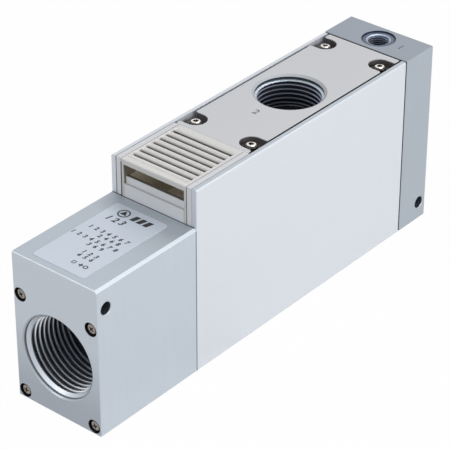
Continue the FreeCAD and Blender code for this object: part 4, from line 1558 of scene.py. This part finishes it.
    def slot_cutter(self, corner: Vector, outline: list[Span]) -> Piece:
        """Return the cutter of one slot's far end.

        Args:
            corner: The front edge of the cover's top.
            outline: The slot's section, along and up from the corner, in millimetres.

        Returns:
            The cutter, in metres.
        """
        deselect_all()
        bpy.ops.mesh.primitive_circle_add(vertices=len(outline), radius=1.0, fill_type="NGON")
        cutter = bpy.context.object
        near, far = self.slot_reach
        for vert, (along, up) in zip(cutter.data.vertices, outline):
            vert.co = corner + Vector((along, near, up)) * MM
        with editing(cutter, selected=True):
            bpy.ops.mesh.extrude_region_move(TRANSFORM_OT_translate={"value": (0, (far - near) * MM, 0)})
        close_mesh(cutter)
        return cutter


@dataclass
class ExtrudedBody:
    """The extruded body, with painted shade on the top of its near wall and on its far bevel."""

    bench: Bench
    near_top_depth: float = 0.1
    near_top_width: float = 3.0
    bevel_depth: float = 0.5
    bevel_width: float = 0.48
    # Painted shade on the top of the near wall.
    near_top_shade: Shade = Shade("B6BDC5", 0.5)
    # Painted shade on the bevel along the far top edge.
    bevel_shade: Shade = Shade("A4AAB2", 0.5)

    def build(self) -> None:
        """Dress the body."""
        low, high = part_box("body_extrusion")
        box = (low, high)
        near_top_foot = high.z - self.near_top_depth * MM
        bevel_foot = high.z - self.bevel_depth * MM
        near_top = box_zone(box, self.near_top_shade, foot=near_top_foot, far=low.y + self.near_top_width * MM)
        bevel = box_zone(box, self.bevel_shade, foot=bevel_foot, near=high.y - self.bevel_width * MM)
        finish = replace(BODY_FINISH, name="anodised_body_extrusion", zones=(near_top, bevel))
        self.bench.dress(self.bench.node("body_extrusion"), finish)


@dataclass(frozen=True)
class Lamp:
    """One soft box of the studio."""

    name: str
    place: Point
    aim: Point
    size: float
    power: float

    def build(self) -> None:
        """Add the lamp and turn it towards its aim."""
        light = bpy.data.lights.new(self.name, "AREA")
        light.shape = "DISK"
        light.size = self.size
        light.energy = self.power
        lamp = bpy.data.objects.new(self.name, light)
        bpy.context.scene.collection.objects.link(lamp)
        lamp.location = self.place
        line = Vector(self.aim) - Vector(self.place)
        lamp.rotation_euler = line.to_track_quat("-Z", "Y").to_euler()


@dataclass
class Studio:
    """White sweep, soft boxes and an even world round the part."""

    floor_half: float = 3.0
    floor_share: float = 0.985
    floor_colour: str = "C8C8C8"
    world_light: float = 0.36
    white: str = "FFFFFF"
    lamps: tuple[Lamp, ...] = (
        Lamp("side_box", (0.15, -1.0, 0.36), (0.02, 0, 0.03), 0.7, 8.7),
        Lamp("top_box", (0.5, 0.1, 0.95), (0.0, 0, 0.05), 0.35, 2.0),
        Lamp("front_box", (-0.24, -0.05, 0.26), (-0.09, 0, 0.05), 0.12, 0.16),
        Lamp("port_box", (-0.30, 0.16, 0.22), (-0.09, -0.01, 0.015), 0.12, 0.17),
    )

    def build(self) -> None:
        """Set the world, lay the floor and hang the lamps."""
        self.light_world()
        self.lay_floor()
        for lamp in self.lamps:
            lamp.build()
        bpy.context.scene.view_settings.view_transform = "Standard"

    def mirror_share(self, tree: Tree) -> Socket:
        """Add the nodes that give 1 where the camera, a gloss or a glass looks, and 0 elsewhere.

        Args:
            tree: The tree of the world or of the floor.

        Returns:
            The socket with the share.
        """
        path = add_node(tree, "ShaderNodeLightPath", {}, {})
        seen = path.outputs["Is Camera Ray"]
        for ray in ("Is Glossy Ray", "Is Transmission Ray"):
            node = add_node(tree, "ShaderNodeMath", {"operation": "MAXIMUM"}, {0: seen, 1: path.outputs[ray]})
            seen = node.outputs[0]
        return seen

    def light_world(self) -> None:
        """Give the world an even light, and white where the camera or a gloss looks at it."""
        world = bpy.data.worlds.new("studio")
        bpy.context.scene.world = world
        tree = fresh_tree(world)
        levels = {"To Min": self.world_light, "To Max": 1.0}
        strength = add_node(tree, "ShaderNodeMapRange", levels, {"Value": self.mirror_share(tree)})
        white = {"Color": linear_colour(self.white)}
        sky = add_node(tree, "ShaderNodeBackground", white, {"Strength": strength.outputs[0]})
        add_node(tree, "ShaderNodeOutputWorld", {}, {"Surface": sky.outputs[0]})

    def lay_floor(self) -> None:
        """Lay a white floor that keeps a faint shadow of the part."""
        deselect_all()
        bpy.ops.mesh.primitive_plane_add(size=2 * self.floor_half)
        floor = bpy.context.object
        floor.name = "floor"
        # White painted sweep: matt where it takes the shadow, and as bright as the world where it is seen.
        material = bpy.data.materials.new("white_sweep")
        tree = fresh_tree(material)
        matt = add_node(tree, "ShaderNodeBsdfDiffuse", {"Color": linear_colour(self.floor_colour)}, {})
        glow = add_node(tree, "ShaderNodeEmission", {"Color": linear_colour(self.white), "Strength": 1.0}, {})
        part = {"operation": "MULTIPLY", 1: self.floor_share}
        share = add_node(tree, "ShaderNodeMath", part, {0: self.mirror_share(tree)})
        links = {0: share.outputs[0], 1: matt.outputs[0], 2: glow.outputs[0]}
        mix = add_node(tree, "ShaderNodeMixShader", {}, links)
        add_node(tree, "ShaderNodeOutputMaterial", {}, {"Surface": mix.outputs[0]})
        floor.data.materials.append(material)


@dataclass
class PhotoCamera:
    """The camera that sees the part as the photograph does."""

    place_mm: Point = (-541.61, -448.27, 476.15)
    azimuth: float = -50.1
    elevation: float = 32.209
    roll: float = 0.046
    focal_px: float = 2206.9
    image_px: float = 450.0
    sensor_mm: float = 36.0
    near_limit: float = 0.05

    def build(self) -> None:
        """Create the camera and make it the scene's camera."""
        data = bpy.data.cameras.new("photo_camera")
        data.sensor_width = self.sensor_mm
        data.lens = self.focal_px * self.sensor_mm / self.image_px
        data.clip_start = self.near_limit
        camera = bpy.data.objects.new("photo_camera", data)
        bpy.context.scene.collection.objects.link(camera)
        azimuth = math.radians(self.azimuth)
        elevation = math.radians(self.elevation)
        level = math.cos(elevation)
        back = Vector((math.sin(azimuth) * level, -math.cos(azimuth) * level, math.sin(elevation)))
        right = Vector((math.cos(azimuth), math.sin(azimuth), 0))
        frame = Matrix((right, back.cross(right), back)).transposed().to_4x4()
        turn = frame @ Matrix.Rotation(math.radians(self.roll), 4, "Z")
        camera.matrix_world = Matrix.Translation(Vector(self.place_mm) * MM) @ turn
        bpy.context.scene.camera = camera


def main() -> None:
    """Build every sub-assembly of the looks in order."""
    logging.basicConfig(level=logging.INFO, format="%(name)s: %(message)s")
    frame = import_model()
    deselect_all()
    PhotoCamera().build()
    bench = Bench(frame)
    bench.dress_nodes()
    for assembly in (ExhaustEnd, SupplyEnd, PortPlate, FrontBay, ExtrudedBody):
        assembly(bench).build()
    Studio().build()


if __name__ == "__main__":
    main()
